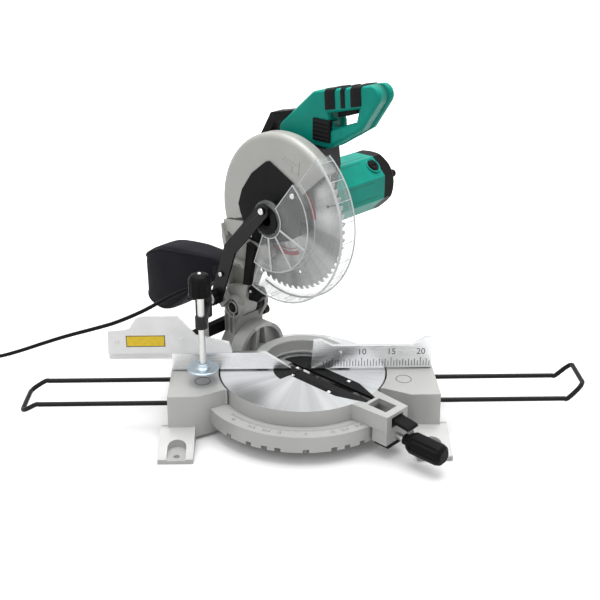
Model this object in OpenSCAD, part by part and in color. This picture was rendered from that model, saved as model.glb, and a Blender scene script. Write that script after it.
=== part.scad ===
// Compound mitre saw: a cast base with fences and a clamp, a turning table, a tilting arm,
// and a chopping head with guards, blade, geared motor, handle and dust bag.
// Lengths are in millimetres. +X runs right along the fence, +Y away from the user, +Z up.
// The origin lies on the bench, under the axis that the table turns about.
// Pieces on the table are drawn with the saw set square, then turned to the mitre angle.

/* [Table and base] */
// Height of the table top above the bench
table_h = 80; // [74:1:95]
// Radius of the turning table
table_r = 140; // [134:1:146]
// Depth of the table's rim
table_rim = 28; // [24:1:30]
// Half width of the base across its wings
wing_x = 222; // [218:1:240]
// Reach of the wings towards the user
wing_front = 90; // [84:1:100]
// Reach of the wings behind the fence
wing_rear = 60; // [54:1:70]
// Width of the skirt with the mitre scale
skirt_w = 25; // [20:1:27]
// Height of the skirt
skirt_h = 28; // [20:1:34]
// Distance of the bench bolts from the middle, along the fence
bolt_x = 205; // [200:1:212]
// Distance of the bench bolts from the middle, front and rear
bolt_y = 150; // [140:1:160]
// Diameter of the bench bolt holes
bolt_d = 10; // [6:0.5:12]
// Wall of the base casting
base_wall = 6; // [4:0.5:8]
// Length of the table's arm past the skirt
arm_past = 32; // [28:1:42]
// Half width of the table's arm
arm_w = 28; // [24:1:30]

/* [Mitre lock] */
// Angle that the table stands at, to the right
mitre_rest = 45; // [0:1:45]
// Diameter of the lock grip
grip_d = 36; // [30:1:40]
// Length of the lock grip
grip_l = 76; // [60:1:90]
// Diameter of the lock screw
lock_screw_d = 12; // [8:1:14]

/* [Fence] */
// Height of the left fence
left_fence_h = 33; // [28:1:40]
// Height of the right fence
right_fence_h = 44; // [38:1:48]
// Thickness of both fences
fence_t = 8; // [6:0.5:9]
// Height of the sliding fence
slide_fence_h = 69; // [55:1:80]

/* [Work supports] */
// Diameter of the support rods
rod_d = 8; // [6:0.5:9]
// Reach of the supports from the middle
support_x = 466; // [430:1:500]
// Distance of the front leg from the fence
support_front = 56; // [50:1:62]
// Distance of the rear leg from the fence
support_rear = 25; // [22:1:30]
// Rise of the right support's end, and drop of the left one's
support_kick = 25; // [15:1:30]

/* [Clamp] */
// Distance of the clamp from the middle
clamp_x = 166; // [162:1:170]
// Distance of the clamp's screw in front of the fence
clamp_front = 36; // [34:1:44]
// Diameter of the clamp's post
post_d = 14; // [10:1:15]
// Diameter of the clamp's screw
clamp_screw_d = 11; // [8:0.5:12]
// Diameter of the clamp's knob
clamp_knob_d = 37; // [30:1:40]
// Diameter of the clamp's foot
clamp_foot_d = 52; // [40:1:56]

/* [Blade and guards] */
// Diameter of the saw blade
blade_d = 255; // [250:1:260]
// Thickness of the saw blade
blade_t = 2.4; // [2:0.1:3]
// Number of teeth
blade_teeth = 60; // [40:4:72]
// Room from the blade's teeth to the outside of the upper guard
guard_room = 6.5; // [6:0.5:8]
// Room from the upper guard to the outside of the lower guard
clear_room = 9.5; // [9:0.5:12]
// Wall of the upper guard
guard_wall = 3; // [2:0.5:4]
// Wall of the lower guard
clear_wall = 2.5; // [2:0.25:3]

/* [Head] */
// Distance of the head's pivot behind the fence
pivot_back = 130; // [128:1:132]
// Height of the head's pivot above the table
pivot_up = 88; // [86:1:92]
// Distance of the blade's centre behind the fence, head up
blade_back = 40; // [38:1:42]
// Height of the blade's centre above the table, head up
blade_up = 270; // [266:1:274]
// Diameter of the head's pivot shaft
pivot_d = 16; // [12:1:18]

/* [Motor] */
// Width across corners of the motor housing
motor_d = 102; // [96:1:104]
// Length of the green motor housing
motor_l = 117; // [110:1:124]
// Length of the motor's end cap
cap_l = 30; // [24:1:36]
// Teeth of the drive gear
gear_teeth = 40; // [40:40:40]
// Teeth of the motor pinion
pinion_teeth = 10; // [10:10:10]
// Tooth module of the drive
gear_module = 1; // [1:0.05:1.05]

/* [Handle] */
// Width of the handle
handle_w = 40; // [34:1:44]
// Depth of the top bar of the grip
grip_bar = 34; // [30:1:36]

/* [Cord] */
// Diameter of the mains cord
cord_d = 7; // [6:0.5:7]

/* [Hidden] */
$fn = 48;

// Clearances: running fits of shafts, and flat faces that slide on each other
run_gap = 0.05;
flat_gap = 0.3;

// Places along the blade's axis, from the blade to the right
guard_left = -17;
guard_right = 8;
cover_face = -20;
clear_left = -40.5;
clear_step = -26;
clear_right = 6;
hub_face = -45.6;
link_in = -46.3;
link_t = 4;
case_end = 58;
handle_v = 25;

// Heights and distances that follow from the driving sizes
well_r = table_r + 3;
skirt_in = well_r + 5;
skirt_r = skirt_in + skirt_w;
arm_l = skirt_r + arm_past;
guard_r = blade_d / 2 + guard_room;
clear_r = guard_r + clear_room;
ledge_top = table_h - table_rim - 0.4;
skirt_top = table_h - table_rim;
pivot_a = -pivot_back;
pivot_z = table_h + pivot_up;
blade_a = -blade_back;
blade_z = table_h + blade_up;
gear_distance = gear_module * (gear_teeth + pinion_teeth) / 2;
motor_lean = 50;
motor_a = blade_a + gear_distance * cos(motor_lean);
motor_z = blade_z + gear_distance * sin(motor_lean);
motor_end = case_end + motor_l;
arm_front = -124.2;
bracket_front = -124.5;
bracket_rear = -150;
lock_up = 44;
lock_z = 38;

// Linkage of the lower guard: the crank on the guard's hub and the pivot on the bevel arm
crank_r = 16;
crank_lean = 99.5;
crank_a = blade_a + crank_r * cos(crank_lean);
crank_z = blade_z + crank_r * sin(crank_lean);
link_a = pivot_a - 28;
link_z = pivot_z + 16;

// Turns a piece of the table to the mitre angle
module at_mitre() rotate([0, 0, mitre_rest]) children();

// Extrudes an outline of (towards the user, up) from one side of the blade to the other
module slab(v0, v1) translate([v1, 0, 0]) rotate([90, 0, -90]) linear_extrude(v1 - v0) children();

// Stands a shape on an axis that runs across the blade; its own Z then points left
module on_axis(a, z) translate([0, -a, z]) rotate([90, 0, -90]) children();

// Cylinder across the blade
module rod_v(a, z, v0, v1, r) on_axis(a, z) translate([0, 0, -v1]) cylinder(h = v1 - v0, r = r);

// Extrudes an outline of (right, up) towards the user
module face(a0, a1) translate([0, -a0, 0]) rotate([90, 0, 0]) linear_extrude(a1 - a0) children();

// Cylinder that points towards the user
module rod_a(v, z, a0, a1, r) translate([v, -a0, z]) rotate([90, 0, 0]) cylinder(h = a1 - a0, r = r);

// Extrudes an outline of (right, up) between two distances behind the fence face
module upright(y0, y1) translate([0, y1, 0]) rotate([90, 0, 0]) linear_extrude(y1 - y0) children();

// Extrudes an outline of (away, up) along the fence
module along_x(x0, x1) translate([x0, 0, 0]) rotate([90, 0, 90]) linear_extrude(x1 - x0) children();

// Cylinder along the fence
module rod_x(y, z, x0, x1, r) translate([x0, y, z]) rotate([0, 90, 0]) cylinder(h = x1 - x0, r = r);

// Straight strip of a flat bar between two points of an outline
module strip(p, q, w) {
    d = (q - p) / norm(q - p);
    n = [-d[1], d[0]] * w / 2;
    polygon([p + n, q + n, q - n, p - n]);
}

// Slot along an arc about the origin of an outline
module arc_slot(r, w, from, to) {
    steps = 12;
    angles = [for (i = [0 : steps]) from + (to - from) * i / steps];
    polygon(concat([for (t = angles) (r + w / 2) * [cos(t), sin(t)]],
        [for (i = [steps : -1 : 0]) (r - w / 2) * [cos(angles[i]), sin(angles[i])]]));
    for (t = [from, to]) translate(r * [cos(t), sin(t)]) circle(d = w);
}

// Tube swept along a list of points
function unit(v) = v / norm(v);
function heading(p, i) = unit(p[min(i + 1, len(p) - 1)] - p[max(i - 1, 0)]);
function beside(t) = unit(cross(t, abs(t[2]) > 0.9 ? [1, 0, 0] : [0, 0, 1]));
function ring_at(p, t, r, n) = let (s = beside(t), w = cross(s, t))
    [for (k = [0 : n - 1]) p + r * (cos(360 * k / n) * s + sin(360 * k / n) * w)];
module sweep(path, r, n = 8) {
    m = len(path);
    points = [for (i = [0 : m - 1]) each ring_at(path[i], heading(path, i), r, n)];
    walls = [for (i = [0 : m - 2]) for (k = [0 : n - 1]) let (j = (k + 1) % n)
        each [[i * n + k, i * n + j, i * n + n + k], [i * n + j, i * n + n + j, i * n + n + k]]];
    first_cap = [for (k = [1 : n - 2]) [0, k + 1, k]];
    last_cap = [for (k = [1 : n - 2]) [(m - 1) * n, (m - 1) * n + k, (m - 1) * n + k + 1]];
    polyhedron(points, concat(walls, first_cap, last_cap));
}

// Smooth curve through a list of points, with a few steps between each pair
function curve_point(p, i, t) = let (a = p[max(i - 1, 0)], b = p[i], c = p[i + 1], d = p[min(i + 2, len(p) - 1)])
    0.5 * (2 * b + (c - a) * t + (2 * a - 5 * b + 4 * c - d) * t * t + (3 * b - a - 3 * c + d) * t * t * t);
function smooth(p, steps) = concat(
    [for (i = [0 : len(p) - 2]) for (s = [0 : steps - 1]) curve_point(p, i, s / steps)], [p[len(p) - 1]]);

// Base

wing_in = 100;
wing_cut = 62;
wing_nose = 37;
wing_draft = 6;
wing_top = 7;
foot_h = 27;
foot_toe = 8;
foot_half = 29;
foot_l = 13;

module wing_outline() difference() {
    polygon([[wing_in, wing_rear + wing_draft], [wing_x, wing_rear + wing_draft],
        [wing_x, -wing_front - wing_draft], [wing_x - wing_nose, -wing_front - wing_draft],
        [wing_in + 32, -wing_cut - wing_draft], [wing_in, -wing_cut - wing_draft]]);
    circle(r = well_r);
}

// Hollow under a wing, inside its walls
module wing_hollow() difference() {
    polygon([[wing_in - 1, wing_rear - base_wall], [wing_x - base_wall, wing_rear - base_wall],
        [wing_x - base_wall, -wing_front + base_wall], [wing_x - wing_nose - 10, -wing_front + base_wall],
        [wing_in + 35, -wing_cut - 0.5], [wing_in - 1, -wing_cut - 0.5]]);
    circle(r = well_r + base_wall);
}

module wing() {
    difference() {
        intersection() {
            linear_extrude(table_h) wing_outline();
            along_x(wing_in, wing_x) polygon([[-wing_front - wing_draft, base_wall],
                [-wing_front - wing_draft, foot_h], [-wing_front, table_h], [wing_rear, table_h],
                [wing_rear + wing_draft, foot_h], [wing_rear + wing_draft, base_wall]]);
        }
        translate([0, 0, -1]) linear_extrude(table_h - wing_top + 1) wing_hollow();
    }
    intersection() {
        linear_extrude(table_h) wing_outline();
        translate([0, 0, ledge_top - wing_top])
            cylinder(h = table_h - ledge_top + wing_top, r = well_r + base_wall);
    }
    for (y = [-support_front, support_rear])
        rod_x(y, support_z, wing_x - base_wall - boss_l, wing_x, rod_d);
    translate([clamp_x, post_y, post_foot - base_wall])
        cylinder(h = table_h - post_foot + base_wall, d = post_d + 2 * base_wall);
}

module foot(sign) {
    near = sign < 0 ? -wing_front + 2 : wing_rear - 2;
    toe = sign * (bolt_y + foot_l);
    difference() {
        along_x(bolt_x - foot_half + 2, bolt_x + foot_half)
            polygon([[near, 0], [near, foot_h], [near + sign * 8, foot_h], [toe - sign * 3, foot_toe],
                [toe, foot_toe], [toe, 0]]);
        translate([bolt_x - foot_l - 2, min(toe + sign, toe - sign * 27), base_wall])
            cube([2 * foot_l + 4, 28, foot_h]);
        translate([bolt_x, toe - sign * 27, base_wall]) cylinder(h = foot_h, r = foot_l + 2);
        translate([bolt_x, sign * bolt_y, -1]) cylinder(h = foot_h, d = bolt_d);
    }
}

support_z = table_h - 30;
boss_l = 66;
post_y = 30;
post_foot = support_z + rod_d / 2 + 3;
skirt_stops = [-45, -31.6, -22.5, -15, 0, 15, 22.5, 31.6, 45];

module skirt() rotate([0, 0, 205]) rotate_extrude(angle = 130) {
    translate([skirt_in, skirt_top - base_wall]) square([skirt_w, base_wall]);
    translate([skirt_r - base_wall, skirt_top - skirt_h]) square([base_wall, skirt_h]);
}

module base_casting() color("#b4b4ac") difference() {
    union() {
        for (side = [0, 1]) mirror([side, 0, 0]) {
            wing();
            foot(-1);
            foot(1);
        }
        rotate_extrude() translate([well_r - 25, ledge_top - wing_top]) square([25 + base_wall, wing_top]);
        skirt();
        translate([0, 0, hub_foot]) cylinder(h = hub_top - hub_foot, r = hub_r);
        for (i = [0 : 5]) rotate([0, 0, 30 + 60 * i]) translate([hub_r - 4, -base_wall / 2, base_wall])
            cube([well_r - hub_r - 10, base_wall, hub_top - base_wall - 2]);
        for (i = [0 : 5]) rotate([0, 0, 30 + 60 * i]) translate([well_r - 20, -base_wall / 2, hub_foot])
            cube([24, base_wall, ledge_top - hub_foot - 2]);
    }
    translate([0, 0, -1]) cylinder(h = table_h, d = table_bolt_d + 2 * run_gap);
    for (side = [0, 1]) mirror([side, 0, 0]) {
        for (y = [-support_front, support_rear])
            rod_x(y, support_z, wing_x - base_wall - boss_l - 1, wing_x + 1, rod_d / 2 + run_gap);
        translate([clamp_x, post_y, post_foot]) cylinder(h = table_h, d = post_d + 2 * run_gap);
    }
    difference() {
        translate([0, 0, ledge_top]) cylinder(h = table_h, r = tilt_room);
        translate([-tilt_room - 1, -2 * tilt_room, 0])
            cube([2 * tilt_room + 2, 2 * tilt_room + tilt_y, 2 * table_h]);
    }
    for (t = skirt_stops) rotate([0, 0, t - 90])
        translate([skirt_r - base_wall - 1, -5, skirt_top - skirt_h - 1]) cube([base_wall + 2, 10, 7]);
}

hub_r = 26;
hub_foot = base_wall - 2;
hub_top = 40;
tilt_room = 163;
tilt_y = 46;
table_bolt_d = 16;

// Fences

fence_foot = table_h + 2.5;
tab_x0 = 184;
tab_y = 34;
tab_t = 7;

module fence_tab() {
    translate([tab_x0, fence_t - 1, table_h]) cube([wing_x - 4 - tab_x0, tab_y - fence_t + 1, tab_t]);
    for (x = [tab_x0 + 4, wing_x - 12]) along_x(x, x + 4) polygon([[fence_t - 1, table_h + tab_t - 1],
        [tab_y - 20, table_h + tab_t - 1], [fence_t - 1, table_h + tab_t + 4]]);
}

module tab_bolts() for (x = [tab_x0 + 13, wing_x - 16]) translate([x, tab_y - 9, 0]) children();

module left_fence() color("#d5d7d8") difference() {
    union() {
        upright(0, fence_t) polygon([[-wing_x + 2, fence_foot], [-20, fence_foot],
            [-64, table_h + left_fence_h], [-wing_x + 2, table_h + left_fence_h]]);
        mirror([1, 0, 0]) fence_tab();
    }
    mirror([1, 0, 0]) tab_bolts() cylinder(h = 2 * table_h, r = 3.2);
}

module right_fence() color("#d5d7d8") difference() {
    union() {
        upright(0, fence_t) polygon([[14, fence_foot], [wing_x - 3, fence_foot],
            [wing_x - 5, table_h + right_fence_h + 14], [wing_x - 16, table_h + right_fence_h + 14],
            [wing_x - 36, table_h + right_fence_h], [51, table_h + right_fence_h],
            [31, table_h + right_fence_h + 11], [18, table_h + right_fence_h + 10]]);
        fence_tab();
    }
    tab_bolts() cylinder(h = 2 * table_h, r = 3.2);
}

module fence_bolts() color("#c8c8c4") for (side = [0, 1]) mirror([side, 0, 0]) tab_bolts() {
    translate([0, 0, table_h + tab_t]) cylinder(h = 4.5, r = 6, $fn = 6);
    translate([0, 0, table_h]) cylinder(h = tab_t, r = 3.1);
}

slide_foot = table_h + left_fence_h + flat_gap;
slide_top = slide_foot + slide_fence_h;
slide_out = 327;

module sliding_fence() color("#e9eaea") {
    upright(0.5, fence_t) union() {
        polygon([[-slide_out, slide_foot], [-slide_out + 2, slide_foot + 42], [-slide_out + 31, slide_foot + 45],
            [-slide_out + 39, slide_foot + 48], [-slide_out + 50, slide_top - 4], [-slide_out + 58, slide_top],
            [-slide_out + 117, slide_top], [-slide_out + 148, slide_top - 38], [-slide_out + 167, slide_top - 42],
            [-slide_out + 203, slide_top - 51], [-slide_out + 208, slide_foot]]);
    }
    upright(fence_t - 0.5, tongue_y) polygon([[-slide_out, slide_foot], [-150, slide_foot],
        [-150, slide_foot + 16], [-slide_out, slide_foot + 16]]);
    upright(fence_t + flat_gap, tongue_y) polygon([[-slide_out, slide_foot - 14], [-150, slide_foot - 14],
        [-150, slide_foot + 1], [-slide_out, slide_foot + 1]]);
}

tongue_y = 13;

// Work supports: two straight legs and a kicked-up end

function support_end(up) = [[support_x - 30, -support_front, 0], [support_x - 24, -support_front, 0],
    [support_x - 8, -support_front + 2, 0.65 * up], [support_x, -support_front + 8, up],
    [support_x + 1, -support_front + 20, up], [support_x + 1, support_rear - 20, up],
    [support_x, support_rear - 8, up], [support_x - 8, support_rear - 2, 0.65 * up],
    [support_x - 24, support_rear, 0], [support_x - 30, support_rear, 0]];

module support(up) translate([0, 0, support_z]) {
    for (y = [-support_front, support_rear]) rod_x(y, 0, wing_x - 40, support_x - 28, rod_d / 2);
    sweep(smooth(support_end(up), 3), rod_d / 2, 12);
}

module support_right() color("#1d1d1e") support(support_kick);

module support_left() color("#1d1d1e") mirror([1, 0, 0]) support(-support_kick + 11);

// Clamp

clamp_arm_z = table_h + 98;
clamp_arm_t = 20;
clamp_foot_z = table_h + 22;
clamp_knob_z = table_h + 156;
clamp_knob_h = 37;
post_top = clamp_arm_z + 52;

module at_clamp() translate([-clamp_x, -clamp_front, 0]) children();

module at_post() translate([-clamp_x, post_y, 0]) children();

module clamp_post() color("#c9c9c6") at_post() translate([0, 0, post_foot + flat_gap]) {
    cylinder(h = post_top - post_foot - flat_gap - 2, d = post_d);
    translate([0, 0, post_top - post_foot - flat_gap - 2]) cylinder(h = 2, r1 = post_d / 2, r2 = post_d / 2 - 2);
}

module clamp_arm() color("#3a3a3d") difference() {
    union() {
        at_post() translate([0, 0, clamp_arm_z - 8]) cylinder(h = clamp_arm_t + 28, d = post_d + 14);
        at_clamp() translate([0, 0, clamp_arm_z]) cylinder(h = clamp_arm_t, d = clamp_screw_d + 9);
        translate([-clamp_x, 0, clamp_arm_z + 2]) linear_extrude(clamp_arm_t - 4)
            polygon([[-12, post_y], [12, post_y], [8, -clamp_front], [-8, -clamp_front]]);
        along_x(-clamp_x - 3, -clamp_x + 3) polygon([[post_y, clamp_arm_z - 8], [post_y, clamp_arm_z + 38],
            [-clamp_front + 4, clamp_arm_z + clamp_arm_t], [-clamp_front + 4, clamp_arm_z]]);
        at_post() rod_x(0, clamp_arm_z + 26, -26, 0, 6);
    }
    at_post() cylinder(h = 2 * post_top, d = post_d + 0.1);
    at_clamp() cylinder(h = 2 * post_top, d = clamp_screw_d + 2 * run_gap);
}

module clamp_screw() color("#bfc0bd") at_clamp() translate([0, 0, clamp_foot_z + 12])
    cylinder(h = clamp_knob_z - clamp_foot_z - 12, d = clamp_screw_d);

module clamp_knob() color("#19191a") at_clamp() translate([0, 0, clamp_knob_z]) difference() {
    rotate_extrude() polygon([[0, 0], [clamp_knob_d / 2 - 1, 0], [clamp_knob_d / 2, 2],
        [clamp_knob_d / 2, clamp_knob_h - 9], [clamp_knob_d / 2 - 4, clamp_knob_h - 3],
        [clamp_knob_d / 2 - 10, clamp_knob_h], [0, clamp_knob_h]]);
    for (i = [0 : 11]) rotate([0, 0, 30 * i]) translate([clamp_knob_d / 2 + 1.2, 0, 3])
        cylinder(h = clamp_knob_h, r = 2.4);
}

module clamp_foot() color("#b9c0c6") at_clamp() translate([0, 0, clamp_foot_z]) rotate_extrude()
    polygon([[0, 0], [clamp_foot_d / 2 - 1, 0], [clamp_foot_d / 2, 1], [clamp_foot_d / 2, 3],
        [clamp_foot_d / 2 - 1, 4], [14, 4], [10, 6], [9, 12], [0, 12]]);

// Turntable with its arm and the trunnion for the bevel

board_half = 30;
board_tip = 11.5;
board_rear = -32;
board_mid = 100;
board_end = 150;
board_t = 5;
slot_half = 20;
kerf_left = 3.5;
kerf_right = 9;
trunnion_r = 54;
trunnion_front = -98;
hub_gap = 0.3;
rear_wall = 108;

// Outline of the kerf boards' recess in plan, as (right, away)
module board_outline(gap) polygon([[-board_half + gap, -board_rear - gap], [board_half - gap, -board_rear - gap],
    [board_half - gap, -board_mid], [board_tip - gap, -board_end + gap], [-board_tip + gap, -board_end + gap],
    [-board_half + gap, -board_mid]]);

module table_shell() difference() {
    union() {
        intersection() {
            translate([0, 0, table_h - table_rim]) cylinder(h = table_rim, r = table_r, $fn = 96);
            translate([-table_r, -table_r, 0]) cube([2 * table_r, table_r - arm_front, 2 * table_h]);
        }
        translate([0, 0, table_h - table_rim + 0.5]) linear_extrude(table_rim - 0.5)
            polygon([[-arm_w - 4, -table_r + 12], [arm_w + 4, -table_r + 12], [arm_w - 2, -arm_l],
                [-arm_w + 2, -arm_l]]);
        translate([-arm_w + 2, -arm_l, lock_z - 10])
            cube([2 * arm_w - 4, arm_past - 3.5, table_h - lock_z + 10]);
    }
    translate([0, 0, table_h - table_rim - 1]) difference() {
        cylinder(h = table_rim - 10, r = table_r - 9);
        translate([-table_r, rear_wall, -1]) cube([2 * table_r, table_r, table_h]);
    }
    translate([-slot_half, -skirt_r + 1, table_h - table_rim]) cube([2 * slot_half, 22, table_rim - 10]);
}

module trunnion() difference() {
    face(arm_front, trunnion_front) union() {
        intersection() {
            translate([0, table_h]) circle(r = trunnion_r);
            translate([-trunnion_r, table_h - 2]) square([2 * trunnion_r, trunnion_r + 4]);
        }
        translate([-trunnion_r + 6, table_h - 14]) square([2 * trunnion_r - 12, 16]);
    }
    face(trunnion_front - 12, trunnion_front + 1) difference() {
        intersection() {
            translate([0, table_h]) circle(r = trunnion_r - 7);
            translate([-trunnion_r, table_h + 5]) square([2 * trunnion_r, trunnion_r]);
        }
        translate([0, table_h]) {
            strip([-14, 0], [-8, trunnion_r], 7);
            strip([14, 0], [8, trunnion_r], 7);
            circle(r = 15);
        }
    }
}

module turntable() color("#c3c4c0") at_mitre() {
    table_casting();
    rod_v(lever_a, lever_z, -arm_w + 8, arm_w - 8, 2.5);
}

module table_casting() difference() {
    union() {
        table_shell();
        trunnion();
        translate([0, 0, hub_top + hub_gap]) cylinder(h = table_h - 24 - hub_top - hub_gap, r = hub_r - 2);
        for (i = [0 : 7]) rotate([0, 0, 45 * i]) translate([hub_r - 6, -2.5, table_h - table_rim + 2])
            cube([i == 2 ? rear_wall - hub_r + 8 : table_r - hub_r - 2, 5, table_rim - 12]);
    }
    translate([0, 0, table_h - board_t]) linear_extrude(board_t + 1) board_outline(0);
    translate([0, 0, table_h - 26]) linear_extrude(40)
        polygon([[-slot_half, -board_rear - 4], [slot_half, -board_rear - 4], [slot_half, -board_mid + 4],
            [kerf_right, -board_end + 6], [-kerf_left, -board_end + 6], [-slot_half, -board_mid + 4]]);
    translate([-14, -arm_l + 13, 0]) cube([28, 36, 2 * table_h]);
    translate([-14, -arm_l - 1, table_h - 24]) cube([28, 20, 18]);
    translate([0, 0, table_h - 26]) cylinder(h = 5, d = 2 * table_bolt_d - 6);
    translate([0, 0, -1]) cylinder(h = table_h - 24, d = table_bolt_d);
    rod_a(0, lock_z, skirt_r, arm_l + 1, lock_screw_d / 2 + run_gap);
    rod_a(0, table_h, arm_front - 1, bevel_stud_front, bevel_bolt_d / 2);
    rod_a(0, table_h + lock_up, arm_front - 1, trunnion_front + 1, lock_bolt_d / 2);
    for (p = screw_spots) translate([p[0], p[1], table_h - 16]) cylinder(h = 20, r = 2);
}

lever_a = arm_l - 16;
lever_z = table_h - 14;
bevel_bolt_d = 16;
bevel_stud_front = trunnion_front - 6;
lock_bolt_d = 10;
screw_spots = [for (v = [-25, 25]) each [[v, -board_rear - 12], [v, 0], [v, -board_mid + 18]]];

module kerf_boards() color("#1c1c1d") at_mitre() difference() {
    translate([0, 0, table_h - board_t]) linear_extrude(board_t - 0.2) difference() {
        board_outline(flat_gap);
        translate([-kerf_left, -board_end - 1]) square([kerf_left + kerf_right, board_end - board_rear + 2]);
        for (p = screw_spots) translate(p) circle(r = 2.4);
    }
    for (p = screw_spots) translate([p[0], p[1], table_h - 2.2]) cylinder(h = 3, r = 4.6);
}

module lock_plate() color("#1d1d1e") at_mitre() difference() {
    translate([-arm_w + 6, -arm_l - 1, lock_z - 16]) cube([2 * arm_w - 12, arm_past - 4, 6]);
    translate([0, -arm_l + 14, 0]) cylinder(h = 2 * lock_z, r = 4);
}

module table_bolt() color("#9b9b98") at_mitre() {
    translate([0, 0, base_wall]) cylinder(h = table_h - 26 - base_wall, d = table_bolt_d);
    translate([0, 0, table_h - 26]) cylinder(h = 4, r = table_bolt_d / 2 + 4, $fn = 6);
}

module bevel_pivot_bolt() color("#8d8d8a") at_mitre() {
    rod_a(0, table_h, bracket_rear - 9, bevel_stud_front, bevel_bolt_d / 2);
    translate([0, -bracket_rear + 9, table_h]) rotate([90, 0, 0])
        difference() {
            cylinder(h = 9 - flat_gap, r = bevel_bolt_d / 2 + 5, $fn = 6);
            translate([0, 0, -1]) cylinder(h = 12, d = bevel_bolt_d);
        }
}

module bevel_lock_bolt() color("#8d8d8a") at_mitre()
    rod_a(0, table_h + lock_up, bracket_rear - 24, trunnion_front - 10, lock_bolt_d / 2);

// Mitre lock

grip_start = arm_l + 17;

module mitre_screw() color("#cfcfcc") at_mitre()
    rod_a(0, lock_z, skirt_r + 1.5, grip_start, lock_screw_d / 2);

module mitre_grip() color("#1a1a1b") at_mitre() translate([0, -grip_start, lock_z]) rotate([90, 0, 0])
    difference() {
        rotate_extrude() polygon([[0, 0], [9, 0], [9, 6], [grip_d / 2 - 3, 12], [grip_d / 2, 18],
            [grip_d / 2, grip_l - 10], [grip_d / 2 - 2, grip_l - 4], [grip_d / 2 - 7, grip_l], [0, grip_l]]);
        for (i = [0 : 7]) rotate([0, 0, 45 * i]) translate([grip_d / 2 + 3.4, 0, 20])
            cylinder(h = grip_l, r = 5);
    }

module mitre_lever() color("#1a1a1b") at_mitre() {
    slab(-12, 12) difference() {
        polygon([[lever_a - 8, lever_z - 5], [lever_a - 8, lever_z + 5], [arm_l + 2, lever_z + 5],
            [arm_l + 30, lever_z + 1], [arm_l + 33, lever_z - 3], [arm_l + 30, lever_z - 5],
            [arm_l + 2, lever_z - 2]]);
        translate([lever_a, lever_z]) circle(r = 2.5 + run_gap);
    }
}

// Bevel arm: tilts about the table's surface line and carries the head's pivot

ear_left = -37;
ear_right = 28;
ear_t = 7;
ear_r = 20;
column_top = pivot_z - ear_r - 1;
link_lug = link_in + 0.4;

module ear_outline() union() {
    translate([pivot_a, pivot_z]) circle(r = ear_r);
    polygon([[bracket_rear, table_h + 30], [bracket_front, table_h + 30],
        [bracket_front, table_h + trunnion_r + 2], [pivot_a + ear_r, pivot_z - 6],
        [pivot_a + ear_r, pivot_z], [bracket_rear, pivot_z]]);
}

module bevel_arm() color("#b0b0a8") at_mitre() difference() {
    union() {
        face(bracket_rear, bracket_front) difference() {
            union() {
                intersection() {
                    translate([0, table_h]) circle(r = trunnion_r);
                    translate([-trunnion_r, table_h + 1.5]) square([2 * trunnion_r, trunnion_r]);
                }
                translate([0, table_h]) circle(r = 24);
                translate([ear_left, table_h + 20]) square([ear_right - ear_left, column_top - table_h - 20]);
            }
            translate([0, table_h]) circle(r = bevel_bolt_d / 2 + run_gap);
            translate([0, table_h]) arc_slot(lock_up, lock_bolt_d + 1, 90, 42);
        }
        slab(ear_left, ear_left + ear_t) ear_outline();
        slab(ear_right - ear_t - 1, ear_right) ear_outline();
        difference() {
            rod_v(pivot_a, pivot_z, ear_left - 3, ear_left, ear_r);
            rod_v(pivot_a, pivot_z, ear_left - 4, ear_left, ear_r - 4);
        }
        for (a = [bracket_rear + 2, (bracket_rear + bracket_front) / 2, bracket_front - 2])
            slab(ear_left - 3, ear_left) translate([a - 1.5, table_h + 34]) square([3, pivot_up - 44]);
        slab(link_lug, ear_left + ear_t) {
            translate([link_a, link_z]) circle(r = 11);
            strip([link_a, link_z], [pivot_a - 13, pivot_z + 4], 20);
        }
        rod_a(gland_v, gland_z, gland_seat, link_a, 8);
    }
    rod_v(pivot_a, pivot_z, ear_left - 1, ear_right + 1, pivot_d / 2);
    rod_v(link_a, link_z, link_lug - 1, ear_left + ear_t + 1, 5);
    rod_v(pin_a, pin_z, -10, ear_right + 1, 5 + run_gap);
}

pin_a = -137;
pin_z = table_h + 56;

module pivot_shaft() color("#a5a5a2") at_mitre() {
    rod_v(pivot_a, pivot_z, ear_left - 1.5, ear_right + 2, pivot_d / 2);
    rod_v(pivot_a, pivot_z, ear_right, ear_right + 2, pivot_d / 2 + 3);
}

spring_r = pivot_d / 2 + 4.2;
spring_wire = 3;
spring_turns = 3;
spring_from = 4.2;
spring_pitch = 3.6;

// Turns of the torsion spring round the pivot shaft, with a straight end that seats on the right ear
spring_path = concat(
    [for (i = [0 : 8 * spring_turns]) let (t = 45 * i)
        [spring_from + spring_pitch * t / 360, -pivot_a + spring_r * cos(t), pivot_z + spring_r * sin(t)]],
    [[ear_right - ear_t - 4.2, -pivot_a + spring_r, pivot_z + 1.5], [ear_right - ear_t - 1, -pivot_a + spring_r,
        pivot_z + 1.5]]);

module return_spring() color("#77777a") at_mitre() sweep(spring_path, spring_wire / 2, 6);

module stop_pin() color("#2a2a2b") at_mitre() {
    rod_v(pin_a, pin_z, -2, ear_right + 10, 5);
    rod_v(pin_a, pin_z, ear_right + 10, ear_right + 22, 9);
}

module link_stud() color("#a5a5a2") at_mitre()
    rod_v(link_a, link_z, link_in - link_t - 10, ear_left + ear_t, 5);

module link_knob() color("#19191a") at_mitre() {
    difference() {
        union() {
            rod_v(link_a, link_z, link_in - link_t - 3, link_in - link_t - flat_gap, 13);
            rod_v(link_a, link_z, link_in - link_t - 13, link_in - link_t - 3, 10);
            for (i = [0 : 5]) rod_v(link_a + 9.5 * cos(60 * i), link_z + 9.5 * sin(60 * i), link_in - link_t - 13,
                link_in - link_t - 4, 4);
        }
        rod_v(link_a, link_z, link_in - link_t - 10, link_in, 5);
    }
}

// Bevel lock lever behind the arm

lever_end = -112;

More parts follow.
